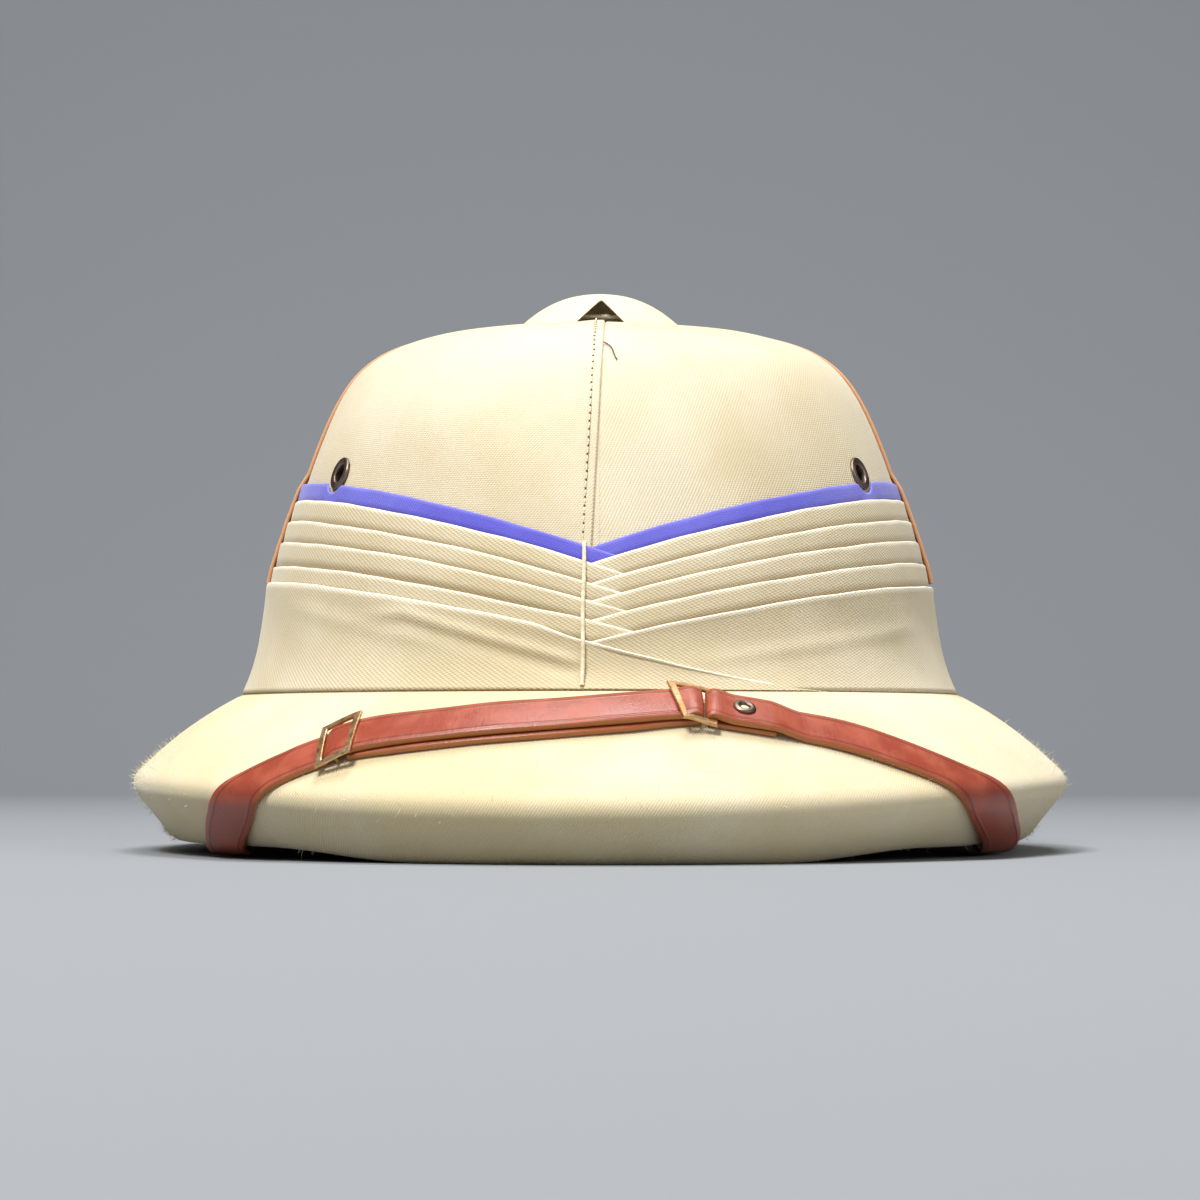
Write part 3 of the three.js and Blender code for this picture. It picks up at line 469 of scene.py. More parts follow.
def panelUv(points, deg):  # weave laid flat on each of the four panels
    mid = (np.floor(deg / 90) + 0.5) * 90
    off = np.radians(deg - mid)[None, :]
    reach = np.linalg.norm(points[..., :2] - (0, centreY), axis=-1)
    run = np.concatenate([np.zeros((1, points.shape[1])),
                          np.cumsum(np.linalg.norm(np.diff(points, axis=0), axis=2), 0)], 0)
    return reach * off + mid[None, :] * 3, run

def normalsOf(points):
    dc = np.roll(points, -1, 1) - np.roll(points, 1, 1)
    dr = np.gradient(points, axis=0)
    return unit(np.cross(dc, dr))

crownDeg = crownColumns()
outer = domeGrid(crownLine, crownLook["rows"], crownDeg)
outer, groove = crownRelief(outer, normalsOf(outer), np.broadcast_to(crownDeg, outer.shape[:2]))
inner = domeGrid(cavityLine, crownLook["innerRows"], crownDeg)
shell = np.concatenate([outer, inner[::-1]], 0)
u, v = panelUv(np.concatenate([shell, shell[:, -1:]], 1), np.concatenate([crownDeg, [179.99]]))
faces = gridFaces(len(shell), len(crownDeg), wrapCols=True, wrapRows=True)
wallWidth = crownRows[0, 1] - cavityRows[0, 1]
u, v = np.concatenate([u, u[-1:]], 0), np.concatenate([v, v[-1:] + wallWidth], 0)
corners = gridUv(u, v).reshape(-1, 4, 2)
eyeletSpec = {"deg": 58.0, "z": 111.2, "flange": 5.2, "bore": 2.8, "barrel": 3.7, "hole": 4.0, "depth": 6,
              "length": 5, "room": 5.6, "reach": 99}
flatPoints = shell.reshape(-1, 3)
keep = np.ones(len(faces), bool)
for hand in (-1, 1):
    place = crownAt(eyeletSpec["z"], hand * eyeletSpec["deg"])
    axis = crownNormal(eyeletSpec["z"], hand * eyeletSpec["deg"])
    mid = flatPoints[faces].mean(1) - place
    near = np.linalg.norm(mid - (mid @ axis)[:, None] * axis, axis=1) < eyeletSpec["hole"]
    keep &= ~(near & (np.abs(mid @ axis) < eyeletSpec["depth"]))
# painted shade in the front seam's groove, none on the inside
grooveShade = np.concatenate([groove, np.zeros(inner.shape[:2])], 0)
makeObject("crownCloth", flatPoints, faces[keep].tolist(), ["crown"],
           uv=corners[keep].reshape(-1, 2), marks={"tuckShade": grooveShade}, materials=[khaki])
print("crown made")

# Brim: one thick slab of pith under cloth
brimLook = {"cols": 560, "lump": 0.3, "lumpRows": (3, 50), "core": (60, 75, 30), "weaveRadius": 150, "close": 6}
brimDeg = np.linspace(-180, 180, brimLook["cols"] + 1)
line = brimLine(brimDeg)[:, :-1]  # up to the seat's inner edge
seatOut = plan(*brimHalf["lip"], brimDeg, brimSize["seat"])[:, None]
line = np.concatenate([line, seatOut], 1).transpose(1, 0, 2)
coreWidth, coreLength, coreZ = brimLook["core"]
out = unit(line - plan(coreWidth, coreLength, brimDeg, coreZ)[None])
x, y, z = line[..., 0], line[..., 1], line[..., 2]
wave = np.sin(brimDeg / 360 * 2 * np.pi * 9 + 1)[None] * 0.5 + np.sin(x / 13 + y / 17) * 0.6
wave = wave + np.sin(x / 6.1 - y / 7.7 + z / 5) * 0.25
outside = np.zeros(line.shape[0])
outside[slice(*brimLook["lumpRows"])] = 1
line = line + out * (wave * brimLook["lump"] * outside[:, None])[..., None]
line[:, -1] = line[:, 0]
line[..., 2] = np.maximum(line[..., 2], 0)
run = runLength(line[:, brimLook["cols"] // 2])
u = np.broadcast_to(np.radians(brimDeg)[None] * brimLook["weaveRadius"], (len(run) + 1, len(brimDeg)))
v = np.broadcast_to(np.concatenate([run, run[-1:] + brimLook["close"]])[:, None], u.shape)
faces = gridFaces(line.shape[0], line.shape[1] - 1, wrapCols=True, wrapRows=True)
makeObject("brimCloth", line[:, :-1].reshape(-1, 3), faces.tolist(), ["brim"],
           uv=gridUv(u, v), materials=[brimKhaki])
print("brim made")

# Wound band: every fold is a strip with a rolled upper edge, lapped at the front
bandLook = {"roll": 0.3, "sink": 0.42, "wander": 0.1, "tuckDepth": 1.7, "wrinkle": 0.95,
            "leftShift": (0, 0, 0, 0, -0.6, 1.4)}

def foldStrip(k, left):
    cross, wide = foldShape["cross"], k == wideFold
    if left:
        ends = (-180.0, cross + (foldShape["tail"] - 0.5 if wide else 7.5))
    else:
        ends = (cross - 0.8, 180.0)
    deg = np.concatenate([np.linspace(ends[0], -12, 300), np.linspace(-11.8, ends[1], 170)]) if left \
        else np.concatenate([np.linspace(ends[0], 12, 130), np.linspace(12.3, ends[1], 340)])
    top = overLine(k, deg) if left else foldLine(k, deg)
    if left:
        top = top + bandLook["leftShift"][k] * smooth(-3, -11, deg) * smooth(-150, -110, deg)
    seed = k * 1.7 + (0.6 if left else 0)
    backFade = smooth(180, 165, np.abs(deg))
    wander = (np.sin(np.radians(deg) * 7 + seed) + 0.7 * np.sin(np.radians(deg) * 17 + seed * 2)
              + 0.4 * np.sin(np.radians(deg) * 41 + seed * 3))
    top = top + wander * bandLook["wander"] * backFade * smooth(0, 12, np.abs(deg - cross))
    if k == 0:
        beside = np.radians(np.abs(deg) - eyeletSpec["deg"]) * eyeletSpec["reach"]
        notch = eyeletSpec["z"] - np.sqrt(np.maximum(eyeletSpec["room"] ** 2 - beside ** 2, 0))
        top = np.where(np.abs(beside) < eyeletSpec["room"], np.minimum(top, notch), top)
    bottom = np.full(deg.shape, foldShape["bottom"]) if wide else foldLine(k + 1, deg) - bandLook["tuckDepth"]
    lapped = foldShape["lap"] * (1 if left else -1) * smooth(150, 110, np.abs(deg))
    stand = foldRows[k, 2] + lapped
    if wide and left:  # the tail sinks a little towards its end
        stand = stand - 0.25 * smooth(24, 38, deg - cross)
    roll = bandLook["roll"] * (1.4 if wide else 1)
    rows, edge, tuckShade = [], [], []
    for turn in np.radians(np.linspace(165, 0, 7)):
        rows.append((top - roll + roll * np.sin(turn), stand - roll + roll * np.cos(turn)))
        # painted highlight on the upper side of the rolled edge, with some wear
        edge.append((1.0 if turn < 2 else 0.3) * (0.4 if k == 0 else 1))
        tuckShade.append(0.0)
    steps = 22 if wide else 8
    span = np.maximum(top - roll - bottom, 0.3)
    fullTop = foldLine(k, deg)
    for f in np.linspace(0, 1, steps + 1)[1:]:
        z = top - roll - span * f
        if wide:
            share = np.clip((fullTop - z) / (fullTop - foldShape["bottom"]), 0, 1)
            off = stand + foldShape["flare"] * share - foldShape["waist"] * share * (1 - share)
            if left:  # two soft diagonal wrinkles, left of the front
                ridge = z - np.interp(deg, (-32, -4), (69, 55.5))
                reachIn = smooth(-44, -30, deg) * smooth(0, -7, deg) * bandLook["wrinkle"]
                off = off + reachIn * (np.exp(-(ridge / 1.7) ** 2) - 0.7 * np.exp(-((ridge + 3.2) / 1.7) ** 2))
                second = z - np.interp(deg, (-62, -26), (73, 61))
                off = off + 0.5 * np.exp(-(second / 2.2) ** 2) * smooth(-66, -52, deg) * smooth(-20, -32, deg)
            else:
                second = z - np.interp(deg, (14, 60), (55, 66))
                off = off + 0.45 * np.exp(-(second / 2.0) ** 2) * smooth(10, 24, deg) * smooth(70, 52, deg)
            off = off + 0.22 * np.sin(np.radians(deg) * 13 + z / 6 + seed) * np.sin(np.pi * share)
        else:
            off = stand - bandLook["sink"] * f ** 1.3 + 0.1 * np.sin(np.pi * f)
            off = off + 0.07 * np.sin(np.radians(deg) * 31 + seed * 5)
        rows.append((z, off))
        # painted highlight fading just under the roll
        edge.append(max(0.0, 0.3 - f * (18 if wide else 4)) * (0 if k == 0 else 1))
        # painted shade on the lower part of each narrow fold, where it runs under the next fold's edge
        tuckShade.append(0.0 if wide else float(smooth(0.5, 0.75, f)))
    z = np.stack([r[0] for r in rows])
    off = np.stack([r[1] + 0 * deg for r in rows])
    points = crownAt(z, deg[None], off)
    if wide:  # turned in under the lower edge
        foot = points[-1:].copy()
        foot[..., :2] = (0, centreY) + (foot[..., :2] - (0, centreY)) * 0.965
        foot[..., 2] += 1.2
        points = np.concatenate([points, foot], 0)
        # painted shade on the wide fold's turned-in foot
        edge, tuckShade = edge + [0.0], tuckShade + [0.6]
    u = np.broadcast_to(np.radians(deg)[None] * 108, points.shape[:2])
    v = k * 13.7 - points[..., 2]
    faces = gridFaces(*points.shape[:2])
    edge, tuckShade = (np.broadcast_to(np.array(mark)[:, None], points.shape[:2]) for mark in (edge, tuckShade))
    return points, faces, gridUv(u, v), edge, tuckShade

def foldObject(name, folds, nodes, material):
    strips = [foldStrip(k, left) for k in folds for left in (False, True)]
    points, faces, uv, edge = joinGrids([s[:4] for s in strips])
    tuckShade = np.concatenate([s[4].ravel() for s in strips])
    makeObject(name, points, faces, nodes, uv=uv, marks={"edge": edge, "tuckShade": tuckShade},
               materials=[material])

foldObject("woundBand", (1, 2, 3, 4, 5), ["puggaree"], bandKhaki)
foldObject("blueFold", (0,), ["blue_fold"], blue)
print("folds made")

# Tacking cord over the folds at the front
tackLook = {"deg": -2.6, "radius": 0.6, "top": 88.8, "bottom": 48.6}
tackZ = np.linspace(tackLook["top"], tackLook["bottom"], 130)
over = np.zeros(130)
for k in range(wideFold + 1):
    foldTop = float(foldLine(k, tackLook["deg"]))
    stand = foldRows[k, 2] + foldShape["lap"]
    if k == wideFold:
        share = np.clip((foldTop - tackZ) / (foldTop - foldShape["bottom"]), 0, 1)
        stand = stand + foldShape["flare"] * share - foldShape["waist"] * share * (1 - share) * 0.6
    over = np.maximum(over, np.where(tackZ < foldTop + 0.7, stand, 0))
over = np.convolve(np.pad(over, 4, mode="edge"), np.ones(9) / 9, "valid") + 0.35
tackPath = crownAt(tackZ, tackLook["deg"] + 0.06 * np.sin(tackZ / 4), over)
points, faces = tube(tackPath, tackLook["radius"] + 0.03 * np.sin(tackZ * 3.1), 10)
makeObject("frontTack", points, faces, ["front_tack"], materials=[cream])

# Vent cap: a hollow dome with three-cornered openings, and the collar inside it
capLook = {"radius": 25.2, "height": 10.7, "wall": 1.8, "power": 2.3, "base": 159.0, "half": 7.4, "open": 7.6}

def capProfile():
    r = np.linspace(1, 0.004, 30)
    rise = 1 - r ** capLook["power"]
    radius, height, wall = (capLook[key] for key in ("radius", "height", "wall"))
    outerLine = np.stack([r * radius, height * rise], 1)
    lip = [(radius - 0.25, -0.25), (radius - 0.9, -0.3)]
    innerLine = np.stack([r * (radius - wall), (height - wall) * rise], 1)
    return np.vstack([outerLine[::-1], lip, innerLine])

def cutMesh(points, faces, cutters):
    mesh = bpy.data.meshes.new("work")
    mesh.from_pydata(points.tolist(), [], [list(map(int, f)) for f in faces])
    body = bpy.data.objects.new("work", mesh)
    bpy.context.scene.collection.objects.link(body)
    tools = []
    for p, f in cutters:
        toolMesh = bpy.data.meshes.new("tool")
        toolMesh.from_pydata(p.tolist(), [], f)
        tool = bpy.data.objects.new("tool", toolMesh)
        bpy.context.scene.collection.objects.link(tool)
        cutter = body.modifiers.new("cut", "BOOLEAN")
        cutter.operation, cutter.object, cutter.solver = "DIFFERENCE", tool, "EXACT"
        tools.append(tool)
    result = bpy.data.meshes.new_from_object(body.evaluated_get(bpy.context.evaluated_depsgraph_get()))
    p = np.array([v.co[:] for v in result.vertices])
    f = [list(poly.vertices) for poly in result.polygons]
    for obj in tools + [body]:
        bpy.data.objects.remove(obj)
    return p, f

def capOpening(turn):
    half, tall = capLook["half"] + 1, capLook["open"]
    outline = [(-half, -1.2), (half, -1.2), (1.1, tall - 0.5), (0.5, tall), (-0.3, tall - 0.4)]
    points = np.array([(x, y, z) for y in (-8, -34) for x, z in outline], float)
    c, s = np.cos(turn), np.sin(turn)
    points[:, :2] = points[:, :2] @ np.array([(c, s), (-s, c)])
    n = len(outline)
    faces = [list(range(n))[::-1], list(range(n, 2 * n))]
    faces += [[i, (i + 1) % n, n + (i + 1) % n, n + i] for i in range(n)]
    return points, faces

profile = capProfile()
points, faces = turned(profile, 96)
faces = faces.tolist() + [list(range(96))[::-1], [(len(profile) - 1) * 96 + i for i in range(96)]]
points, faces = cutMesh(points, faces, [capOpening(2 * np.pi * i / 3) for i in range(3)])
points = points + (0, centreY, capLook["base"])
corner = np.array([points[i][:2] for f in faces for i in f])
cap = makeObject("ventCap", points, faces, ["vent_cap"], uv=corner, materials=[capKhaki],
                 flat=True)
capMod = cap.modifiers.new("bevel", "BEVEL")
capMod.width, capMod.segments, capMod.limit_method, capMod.angle_limit = 0.0003, 2, "ANGLE", np.radians(50)
cap.data.polygons.foreach_set("use_smooth", np.ones(len(cap.data.polygons), bool))
cap.data.set_sharp_from_angle(angle=np.radians(45))

collarProfile = [  # radius, height
    (8.2, 150), (9.8, 150), (9.8, 161.2), (12.9, 161.3), (13.2, 161.6), (13.2, 162.2), (12.9, 162.5),
    (8.6, 162.5), (8.2, 162.2), (8.2, 150)]
points, faces = turned(collarProfile, 64)
collarMetal = metalMaterial("paleMetal", {
    "base": (206, 202, 194), "worn": (226, 224, 216), "dark": (150, 144, 134), "rough": 0.4, "metal": 0.6})
makeObject("ventCollar", points + (0, centreY, 0), faces.tolist(), ["vent_collar"],
           materials=[collarMetal])
print("vent made")

# Eyelets: rolled flange, barrel and a dark bore
flange, bore, barrel, length = (eyeletSpec[key] for key in ("flange", "bore", "barrel", "length"))
beadTurn, throatTurn = np.linspace(-0.4, 1.9, 9), np.linspace(0.1, 1.57, 7)
bead = [(flange - 0.85 + 0.7 * np.cos(a), 0.35 + 0.65 * np.sin(a)) for a in beadTurn]
throat = [(bore + 0.6 - 0.6 * np.sin(a), 0.35 + 0.55 * np.cos(a)) for a in throatTurn]
profile = [(barrel, -length), (barrel, 0.15), (flange - 0.4, 0.15)] + bead + throat
profile += [(bore, -length), (barrel, -length)]
eyeletPoints, faces = turned(profile, 56)
for hand, side in ((-1, "left"), (1, "right")):
    place = eyeletSpec["z"], hand * eyeletSpec["deg"]
    points = standAt(eyeletPoints, crownAt(*place), crownNormal(*place))
    makeObject("eyelet" + side.title(), points, faces.tolist(), ["eyelet_" + side],
               materials=[greyMetal])

# Side tapes: narrow strips over the side seams, from the wide fold to the cap
tapeLook = {"width": 6.0, "thick": 1.1, "start": 80.3, "reach": 27.6, "steps": 170}

def tapeGrid(hand):
    start = np.searchsorted(crownLine[:, 0], tapeLook["start"])
    stop = np.searchsorted(-crownLine[:, 1], -tapeLook["reach"])
    i = np.linspace(start, stop, tapeLook["steps"]).astype(int)
    z, w, l = crownLine[i].T
    base = plan(w, l, 90.0, z)
    way = unit(np.gradient(base, axis=0))
    normal = unit(np.cross(np.array((0.0, 1.0, 0.0)), way))
    lift = np.zeros(len(i))
    for k in range(wideFold):
        lift = np.maximum(lift, np.where(z < foldRows[k, 0] + 0.8, foldRows[k, 2] + foldShape["lap"], 0))
    kernel = np.ones(7) / 7
    lift = np.convolve(np.pad(lift, 3, mode="edge"), kernel, "valid") + 0.25
    half, thick = tapeLook["width"] / 2, tapeLook["thick"]
    section = [(-half, 0), (-half, thick * 0.6), (-half + 0.35, thick), (-1.5, thick + 0.1), (0, thick + 0.15),
               (1.5, thick + 0.1), (half - 0.35, thick), (half, thick * 0.6), (half, 0)]
    points = np.stack([base + normal * (lift[:, None] + h) + np.array((0.0, b, 0.0)) for b, h in section], 1)
    points[..., 0] *= hand
    run = runLength(base)
    u = np.broadcast_to(np.array([b for b, h in section] + [4.0])[None], (len(i), len(section) + 1))
    v = np.broadcast_to(run[:, None], u.shape)
    return points, u, v

for hand, side in ((-1, "left"), (1, "right")):
    points, u, v = tapeGrid(hand)
    rows, cols = points.shape[:2]
    faces = gridFaces(rows, cols, wrapCols=True)
    edge = np.broadcast_to(np.array([0, 0.7, 1, 0, 0, 0, 1, 0.7, 0.0])[None], (rows, cols))
    makeObject("sideTape" + side.title(), points.reshape(-1, 3), faces.tolist(),
               ["side_tape_" + side], uv=gridUv(u, v), marks={"edge": edge}, materials=[russet])
print("eyelets and tapes made")

# Chin strap: two leather straps laid in the strap's own space, with raw tan edges
strapSize = {"width": 13.5, "thick": 1.6, "gap": 0.3, "pitch": 5.0, "foldPitch": 4.8, "bar": 0.9, "ease": 0.25,
             "peep": 1.3, "step": 0.7}
sliderLook = {"reach": 1.6, "strip": 1.9, "deep": 1.0, "round": 0.2, "sideSteps": 8}
low = strapSize["gap"] + strapSize["thick"] / 2
high = low + strapSize["thick"] + strapSize["gap"]
overBar = low + strapSize["thick"] + strapSize["bar"] + 2 * strapSize["gap"]
barLift = (strapSize["thick"] + strapSize["bar"]) / 2 + 1.5 * strapSize["gap"]
leftBar, rightBar = alongAt(-33), alongAt(12.6)
rivetAlong, tailAlong = alongAt(18.7), alongAt(22.7)

def pathThrough(keys, step):  # heights along the strap, eased between keys
    keys = np.array([tuple(key) + (0,) * (3 - len(key)) for key in keys], float)
    reach = runLength(keys[:, :2])
    at = np.arange(0, reach[-1], step)
    path = np.stack([np.interp(at, reach, keys[:, i]) for i in range(3)], 1)
    for _ in range(3):
        path[1:-1] = (path[:-2] + 2 * path[1:-1] + path[2:]) / 4
    return path

def halfTurn(along, way):
    radius = (overBar - low) / 2
    turn = np.linspace(0, np.pi, 13)
    return list(zip(along + way * radius * np.sin(turn), low + radius + radius * np.cos(turn)))

def strapSection():
    half, thick = strapSize["width"] / 2, strapSize["thick"] / 2
    top = [(b, thick + 0.12 * (1 - (b / half) ** 2)) for b in np.linspace(-half + 0.2, half - 0.2, 9)]
    right = [(half - 0.05, thick * 0.75), (half + 0.02, 0.0), (half - 0.05, -thick * 0.75)]
    bottom = [(b, -thick) for b in np.linspace(half - 0.35, -half + 0.35, 7)]
    left = [(-half + 0.05, -thick * 0.75), (-half - 0.02, 0.0), (-half + 0.05, thick * 0.75)]
    mark = [0.1] + [0.0] * 7 + [0.1] + [1.0] * 3 + [0.3] * 7 + [1.0] * 3
    return np.array(top + right + bottom + left), np.array(mark)

def strapObject(name, keys, nodes):
    path = pathThrough(keys, strapSize["step"])
    run = unit(np.gradient(path[:, :2], axis=0))
    section, mark = strapSection()
    along = path[:, :1] - run[:, 1:] * section[None, :, 1]
    above = path[:, 1:2] + run[:, :1] * section[None, :, 1]
    above = above + 0.1 * (1 + np.sin(along / 5.3)) * np.where(section[None, :, 1] > 0, 1, 0)
    aside = np.broadcast_to(section[None, :, 0], along.shape)
    points = strapAt(along, aside * (1 + 0.012 * np.sin(path[:, :1] / 8.0)) + path[:, 2:], above)
    rows, cols = points.shape[:2]
    faces = gridFaces(rows, cols, wrapCols=True)
    reach = np.arange(rows) * strapSize["step"]
    girth = np.concatenate([[0], np.cumsum(np.linalg.norm(np.diff(section, axis=0), axis=1)), [31.0]])
    u = np.broadcast_to(reach[:, None], (rows, cols + 1))
    v = np.broadcast_to(girth[None], u.shape)
    uv = gridUv(u, v)
    caps = [list(range(cols)), [(rows - 1) * cols + i for i in reversed(range(cols))]]
    uv = np.concatenate([uv, np.zeros((2 * cols, 2))])
    edge = np.broadcast_to(mark[None], (rows, cols)).copy()
    edge[0], edge[-1] = 1, 1
    return makeObject(name, points.reshape(-1, 3), faces.tolist() + caps, nodes, uv=uv,
                      marks={"edge": edge}, materials=[leather])

def rimPath(end, top):
    samples = (routeLine[::-1], routeAlong[::-1]) if end > top else (routeLine, routeAlong)
    reach = [float(samples[1][np.argmax(samples[0][:, 1] <= past)]) for past in (30, -10)]
    height = low + strapSize["ease"]
    return [(end, height), (reach[0], height), (reach[1], height - 0.4),
            (reach[1] + (top - reach[1]) * 0.3, low), (top, low)]

pitch = strapSize["pitch"]
arch = strapSize["gap"] * 3 + strapSize["bar"] + strapSize["thick"] / 2
leftKeys = rimPath(0.0, leftBar - 0.85 * pitch) + [
    (leftBar - 0.3 * pitch, arch + 0.3), (leftBar + 0.3 * pitch, arch + 0.3), (leftBar + 0.75 * pitch, high),
    (rightBar - 0.85 * pitch, high), (rightBar - 0.3 * pitch, overBar)] + halfTurn(rightBar, 1) + [
    (rightBar - 0.8 * pitch, low, -0.3), (rightBar - 4 * pitch, low, -strapSize["peep"]),
    (leftBar + 3 * pitch, low, -strapSize["peep"]), (leftBar + 0.55 * pitch, low, -0.4)]
rightFold = halfTurn(rightBar + strapSize["foldPitch"], -1)[::-1]
rightKeys = [(tailAlong, low), (rivetAlong - 3, low)] + rightFold + [
    (rivetAlong - 3, high), (tailAlong, high)] + rimPath(routeLength, tailAlong + 8)[::-1]
strapObject("strapLeft", leftKeys, ["strap_left"])
strapObject("strapRight", rightKeys, ["strap_right"])

# Sliders: a flat metal frame, with a middle bar that dips under the strap
def sliderObject(name, middle, bars, node):
    half = strapSize["width"] / 2 + sliderLook["reach"]
    ends = [bars[0][0], bars[-1][0]], [bars[0][1], bars[-1][1]]
    (first, last), steps = ends[0], sliderLook["sideSteps"]
    corners = np.array([(first, -half), (last, -half), (last, half), (first, half)])
    away = np.array([(-1, -1), (1, -1), (1, 1), (-1, 1)])
    corner, part = np.divmod(np.arange(4 * steps), steps)
    part = part[:, None] / steps
    centre = corners[corner] * (1 - part) + corners[(corner + 1) % 4] * part
    out = np.where(part == 0, away[corner], (away[corner] + away[(corner + 1) % 4]) / 2)
    wide, deep, soft = sliderLook["strip"] / 2, sliderLook["deep"] / 2, sliderLook["round"]
    quarter = np.array([(wide, deep - soft), (wide - soft, deep)])
    section = np.concatenate([quarter, quarter[::-1] * (-1, 1), -quarter, quarter[::-1] * (1, -1)])
    along = centre[:, :1] + out[:, :1] * section[None, :, 0]
    aside = centre[:, 1:] + out[:, 1:] * section[None, :, 0]
    frameFaces = gridFaces(4 * steps, len(section), wrapCols=True, wrapRows=True)
    above = np.interp(along, *ends) + section[None, :, 1]
    parts = [(strapAt(middle + along, aside, above).reshape(-1, 3), frameFaces.tolist())]
    by, height = bars[1]
    b = np.linspace(-half, half, 31)
    level = height + (np.interp(by, *ends) - height) * smooth(half - 1.6, half, np.abs(b))
    parts.append(tube(strapAt(np.full(31, middle + by), b, level), strapSize["bar"] / 2, 12))
    points, faces = joinParts(parts)
    makeObject(name, points, faces, [node], materials=[brass], flat=True)

inLoop = (low + overBar) / 2
leftBars = [(-pitch, low + barLift), (0.0, strapSize["gap"] + 0.6), (pitch, high + barLift)]
rightBars = [(-pitch, high + barLift), (0.0, inLoop), (strapSize["foldPitch"] + 0.4, inLoop)]
sliderObject("sliderLeft", leftBar, leftBars, "slider_left")
sliderObject("sliderRight", rightBar, rightBars, "slider_right")

# Rivet and posts
def studObject(name, along, profile, node, metal):
    points, faces = turned(profile, 48)
    foot = strapAt(along, 0.0, 0.0)
    points = standAt(points, foot, strapAt(along, 0.0, 1.0) - foot)
    makeObject(name, points, faces.tolist(), [node], materials=[metal])

rivetTop = high + strapSize["thick"] / 2 + 0.25
ring = [(2.2 + 1.0 * np.cos(a), rivetTop + 0.25 + 0.75 * np.sin(a)) for a in np.linspace(-0.3, np.pi, 12)]
shank = [(1.2, 0.3), (1.7, 0.3), (1.7, rivetTop), (3.1, rivetTop)]  # radius, height
studObject("strapRivet", rivetAlong, shank + ring + shank[:1], "strap_rivet", greyMetal)
studObject("rivetHole", rivetAlong, [(0.01, rivetTop + 0.15), (1.6, rivetTop + 0.15)], "strap_rivet", cream)
postTop = low + strapSize["thick"] / 2 + strapSize["ease"] + 0.9
postLook = {"inset": 7.0, "radius": 1.9, "head": 4.5, "dome": 1.2, "foot": 0.3}
post = [(0.01, postLook["foot"]), (postLook["radius"], postLook["foot"]), (postLook["radius"], postTop),
        (postLook["head"], postTop)]
domeTurn = np.linspace(0, np.pi / 2 - 0.01, 9)
post += [(postLook["head"] * np.cos(a), postTop + postLook["dome"] * np.sin(a)) for a in domeTurn]
for side, along in (("left", postLook["inset"]), ("right", routeLength - postLook["inset"])):
    studObject("strapPost" + side.title(), along, post, "strap_post_" + side, greyMetal)
print("strap made")

# Stitches beside the front seam
stitchLook = {"pitch": 2.6, "length": 1.8, "radius": 0.24, "beside": -2.5, "hole": 0.34, "highest": 157.8}
seamRun = crownLine[(crownLine[:, 0] > 88.5) & (crownLine[:, 1] > 27)]
seamPath = plan(seamRun[:, 1], seamRun[:, 2], 0.0, seamRun[:, 0])
reach = runLength(seamPath)
parts, holeShadows = [], []
for start in np.arange(0.6, reach[-1] - 2, stitchLook["pitch"]):
    at = start + np.linspace(0, stitchLook["length"], 5)
    z = np.interp(at, reach, seamPath[:, 2])
    x = seamAcross(z) + stitchLook["beside"] + rng.normal(0, 0.05)
    w = np.interp(z, crownLine[:, 0], crownLine[:, 1])
    deg = np.degrees(np.arcsin(x / w))
    base = np.stack([np.interp(at, reach, seamPath[:, i]) for i in range(3)], 1)
    base[:, 0] = x
    base[:, 1] = crownAt(z, deg)[:, 1]
    normal = crownNormal(np.minimum(z, stitchLook["highest"]), deg)
    lift = crownLook["lap"] + 0.1 + stitchLook["radius"] * 0.8 * np.sin(np.linspace(0.15, np.pi - 0.15, 5))
    thick = stitchLook["radius"] * np.array((0.5, 0.9, 1, 0.9, 0.5))
    parts.append(tube(base + normal * lift[:, None], thick, 6))
    step = (base[-1] - base[0]) / stitchLook["length"]
    # painted shadow: each needle hole is a small dark tube laid on the cloth
    gap = base[-1] + normal[-1] * (crownLook["lap"] + 0.12) + np.outer((0.1, 0.4, 0.7), step)
    holeShadows.append(tube(gap, stitchLook["hole"] * np.array((0.5, 1, 0.5)), 8))
points, faces = joinParts(parts)
makeObject("seamStitches", points, faces, [], materials=[cream])
points, faces = joinParts(holeShadows)
shadow = Tree("needleShadow").finish(Base_Color=linear((92, 72, 46)), Roughness=0.95)
makeObject("seamHoleShadows", points, faces, [], materials=[shadow])

threadAt = np.linspace(0, 1, 9)  # a short dark thread end, right of the seam
threadZ, threadX = 147 - 5.5 * threadAt, 1.1 + 4.2 * threadAt + 0.5 * np.sin(threadAt * 5)
threadDeg = np.degrees(np.arcsin(threadX / np.interp(threadZ, crownLine[:, 0], crownLine[:, 1])))
threadLift = 0.3 + 0.5 * np.sin(threadAt * np.pi)
threadPath = crownAt(threadZ, threadDeg) + crownNormal(threadZ, threadDeg) * threadLift[:, None]
points, faces = tube(threadPath, 0.2, 6)
darkThread = Tree("darkThread").finish(Base_Color=linear((66, 66, 80)), Roughness=0.8)
makeObject("threadEnd", points, faces, [], materials=[darkThread])

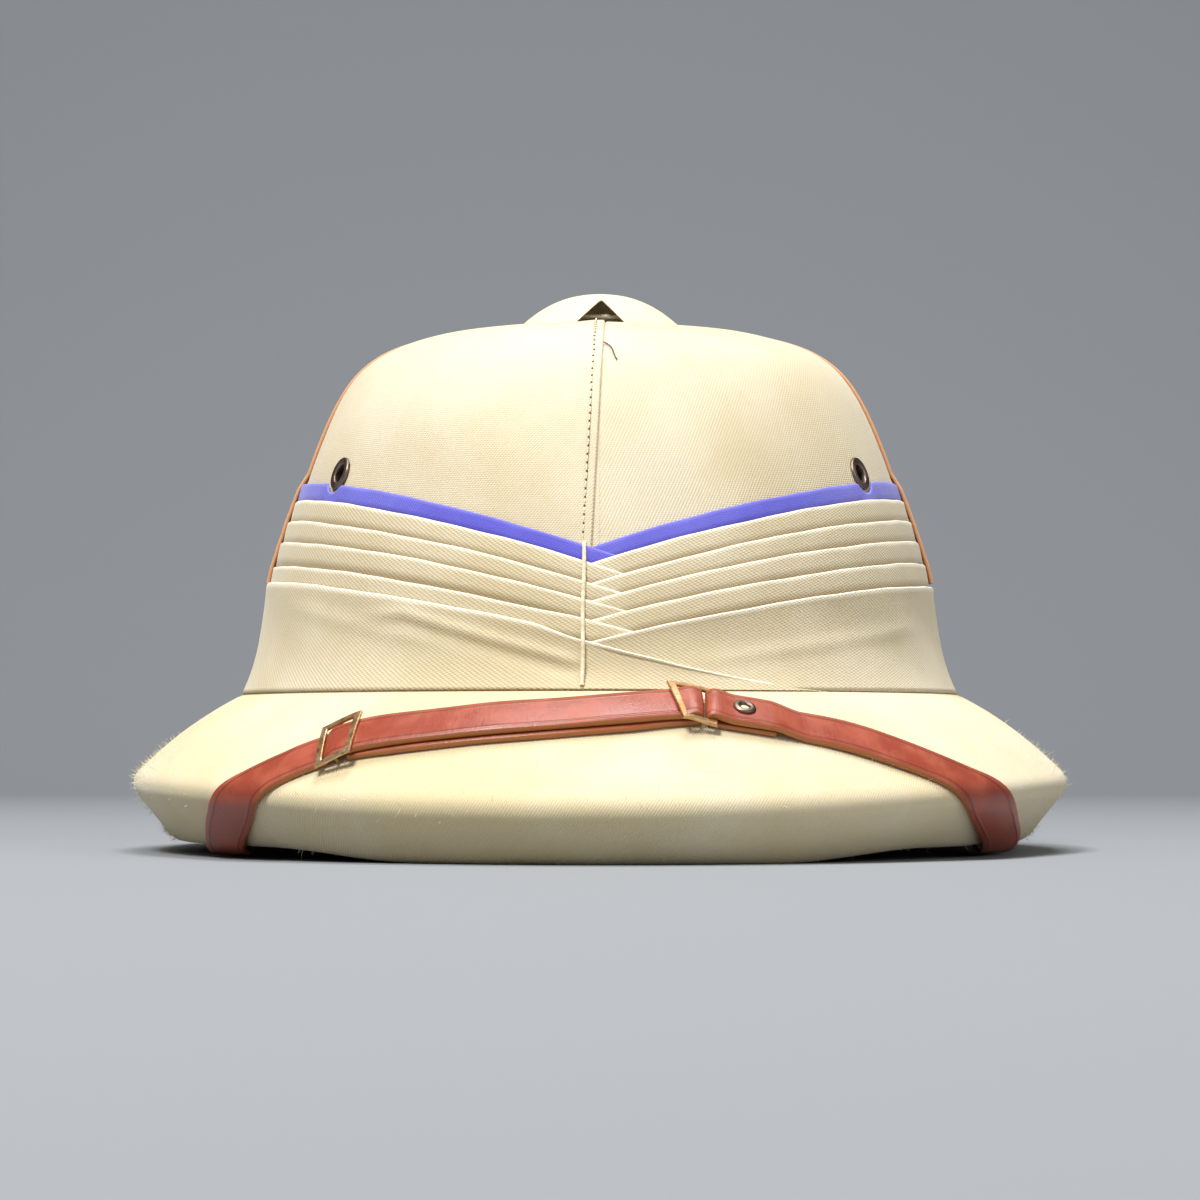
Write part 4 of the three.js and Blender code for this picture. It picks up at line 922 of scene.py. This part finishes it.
# Loose fibres along the brim's edge
fibreLook = {"sides": 2600, "round": 2600, "longest": 2.4, "width": 0.1}
fibres = fibreLook["sides"] + fibreLook["round"]
sideDeg = rng.normal(86, 9, fibreLook["sides"]) * np.where(rng.random(fibreLook["sides"]) < 0.62, -1, 1)
deg = np.concatenate([sideDeg, rng.uniform(-180, 180, fibreLook["round"])])
past = np.where(rng.random(fibres) < 0.6, rng.normal(-4, 9.0, fibres), rng.normal(18, 1.6, fibres))
root = brimAt(deg, past)
across, _, normal = brimSteps(deg, past)
way = normal + 0.9 * rng.normal(0, 1, (fibres, 3)) * 0.6
way = unit(way + unit(across) * rng.normal(0, 0.7, (fibres, 1)))
way = unit(way + normal * np.maximum(0.25 - (way * normal).sum(1, keepdims=True), 0))
size = fibreLook["longest"] * rng.random((fibres, 1)) ** 2.2 + 0.25
side = unit(np.cross(way, normal + 1e-3)) * fibreLook["width"] / 2
bendWay = rng.normal(0, 0.25, (fibres, 3)) * size
mid, tip = root + way * size * 0.55, root + way * size + bendWay
points = np.stack([root - side, root + side, mid + side * 0.8, mid - side * 0.8, tip], 1).reshape(-1, 3)
points[:, 2] = np.maximum(points[:, 2], 0.05)
faces = []
for i in range(fibres):
    s = i * 5
    faces += [[s, s + 1, s + 2, s + 3], [s + 3, s + 2, s + 4]]
makeObject("brimFibres", points, faces, [], materials=[cream], flat=True)
print("stitches and fibres made")

# Stage: pale floor that sweeps up behind
floorRows = [(-3.0, 0.0), (-0.5, 0.0), (1.2, 0.0)] + [
    (1.2 + 0.8 * np.sin(a), 0.8 - 0.8 * np.cos(a)) for a in np.linspace(0.1, np.pi / 2, 12)] + [(2.0, 3.5)]
points = np.array([[(x, y, z) for x in (-4.0, 4.0)] for y, z in floorRows]).reshape(-1, 3)
mesh = bpy.data.meshes.new("floor")
mesh.from_pydata(points.tolist(), [], gridFaces(len(floorRows), 2).tolist())
mesh.polygons.foreach_set("use_smooth", np.ones(len(mesh.polygons), bool))
floor = bpy.data.objects.new("floor", mesh)
bpy.context.scene.collection.objects.link(floor)
floorPaint = Tree("paleFloor").finish(
    Base_Color=linear((140, 143, 147)), Roughness=0.8, Specular_IOR_Level=0.1)
mesh.materials.append(floorPaint)

scene = bpy.context.scene
world = bpy.data.worlds.new("studio")
world.use_nodes = True
world.node_tree.nodes["Background"].inputs["Color"].default_value = (0.92, 0.95, 1.0, 1)
world.node_tree.nodes["Background"].inputs["Strength"].default_value = 0.22
scene.world = world

def areaLight(name, place, target, size, power, colour):
    lamp = bpy.data.lights.new(name, "AREA")
    lamp.shape, lamp.size, lamp.energy, lamp.color = "DISK", size, power, colour
    obj = bpy.data.objects.new(name, lamp)
    obj.location = place
    obj.rotation_euler = (Vector(target) - Vector(place)).to_track_quat("-Z", "Y").to_euler()
    scene.collection.objects.link(obj)

areaLight("key", (-0.65, -1.15, 1.9), (0, 0, 0.08), 0.7, 52, (1.0, 0.99, 0.97))
areaLight("fill", (1.5, -1.2, 0.9), (0, 0, 0.08), 1.4, 8, (1.0, 0.98, 0.96))
areaLight("top", (0.1, 0.1, 1.9), (0, 0, 0.1), 1.0, 33, (1.0, 1.0, 1.0))

cameraLook = {"place": (0.0, -1.25, 0.034), "lens": 122.0, "shift": 0.115}
camera = bpy.data.objects.new("camera", bpy.data.cameras.new("camera"))
camera.location = cameraLook["place"]
camera.rotation_euler = (np.pi / 2, 0, 0)
camera.data.lens, camera.data.sensor_width, camera.data.shift_y = cameraLook["lens"], 36, cameraLook["shift"]
camera.data.dof.use_dof = False
scene.collection.objects.link(camera)
scene.camera = camera
scene.render.engine = "CYCLES"
scene.render.resolution_x = scene.render.resolution_y = 1200
scene.view_settings.view_transform = "Standard"
print("stage made")
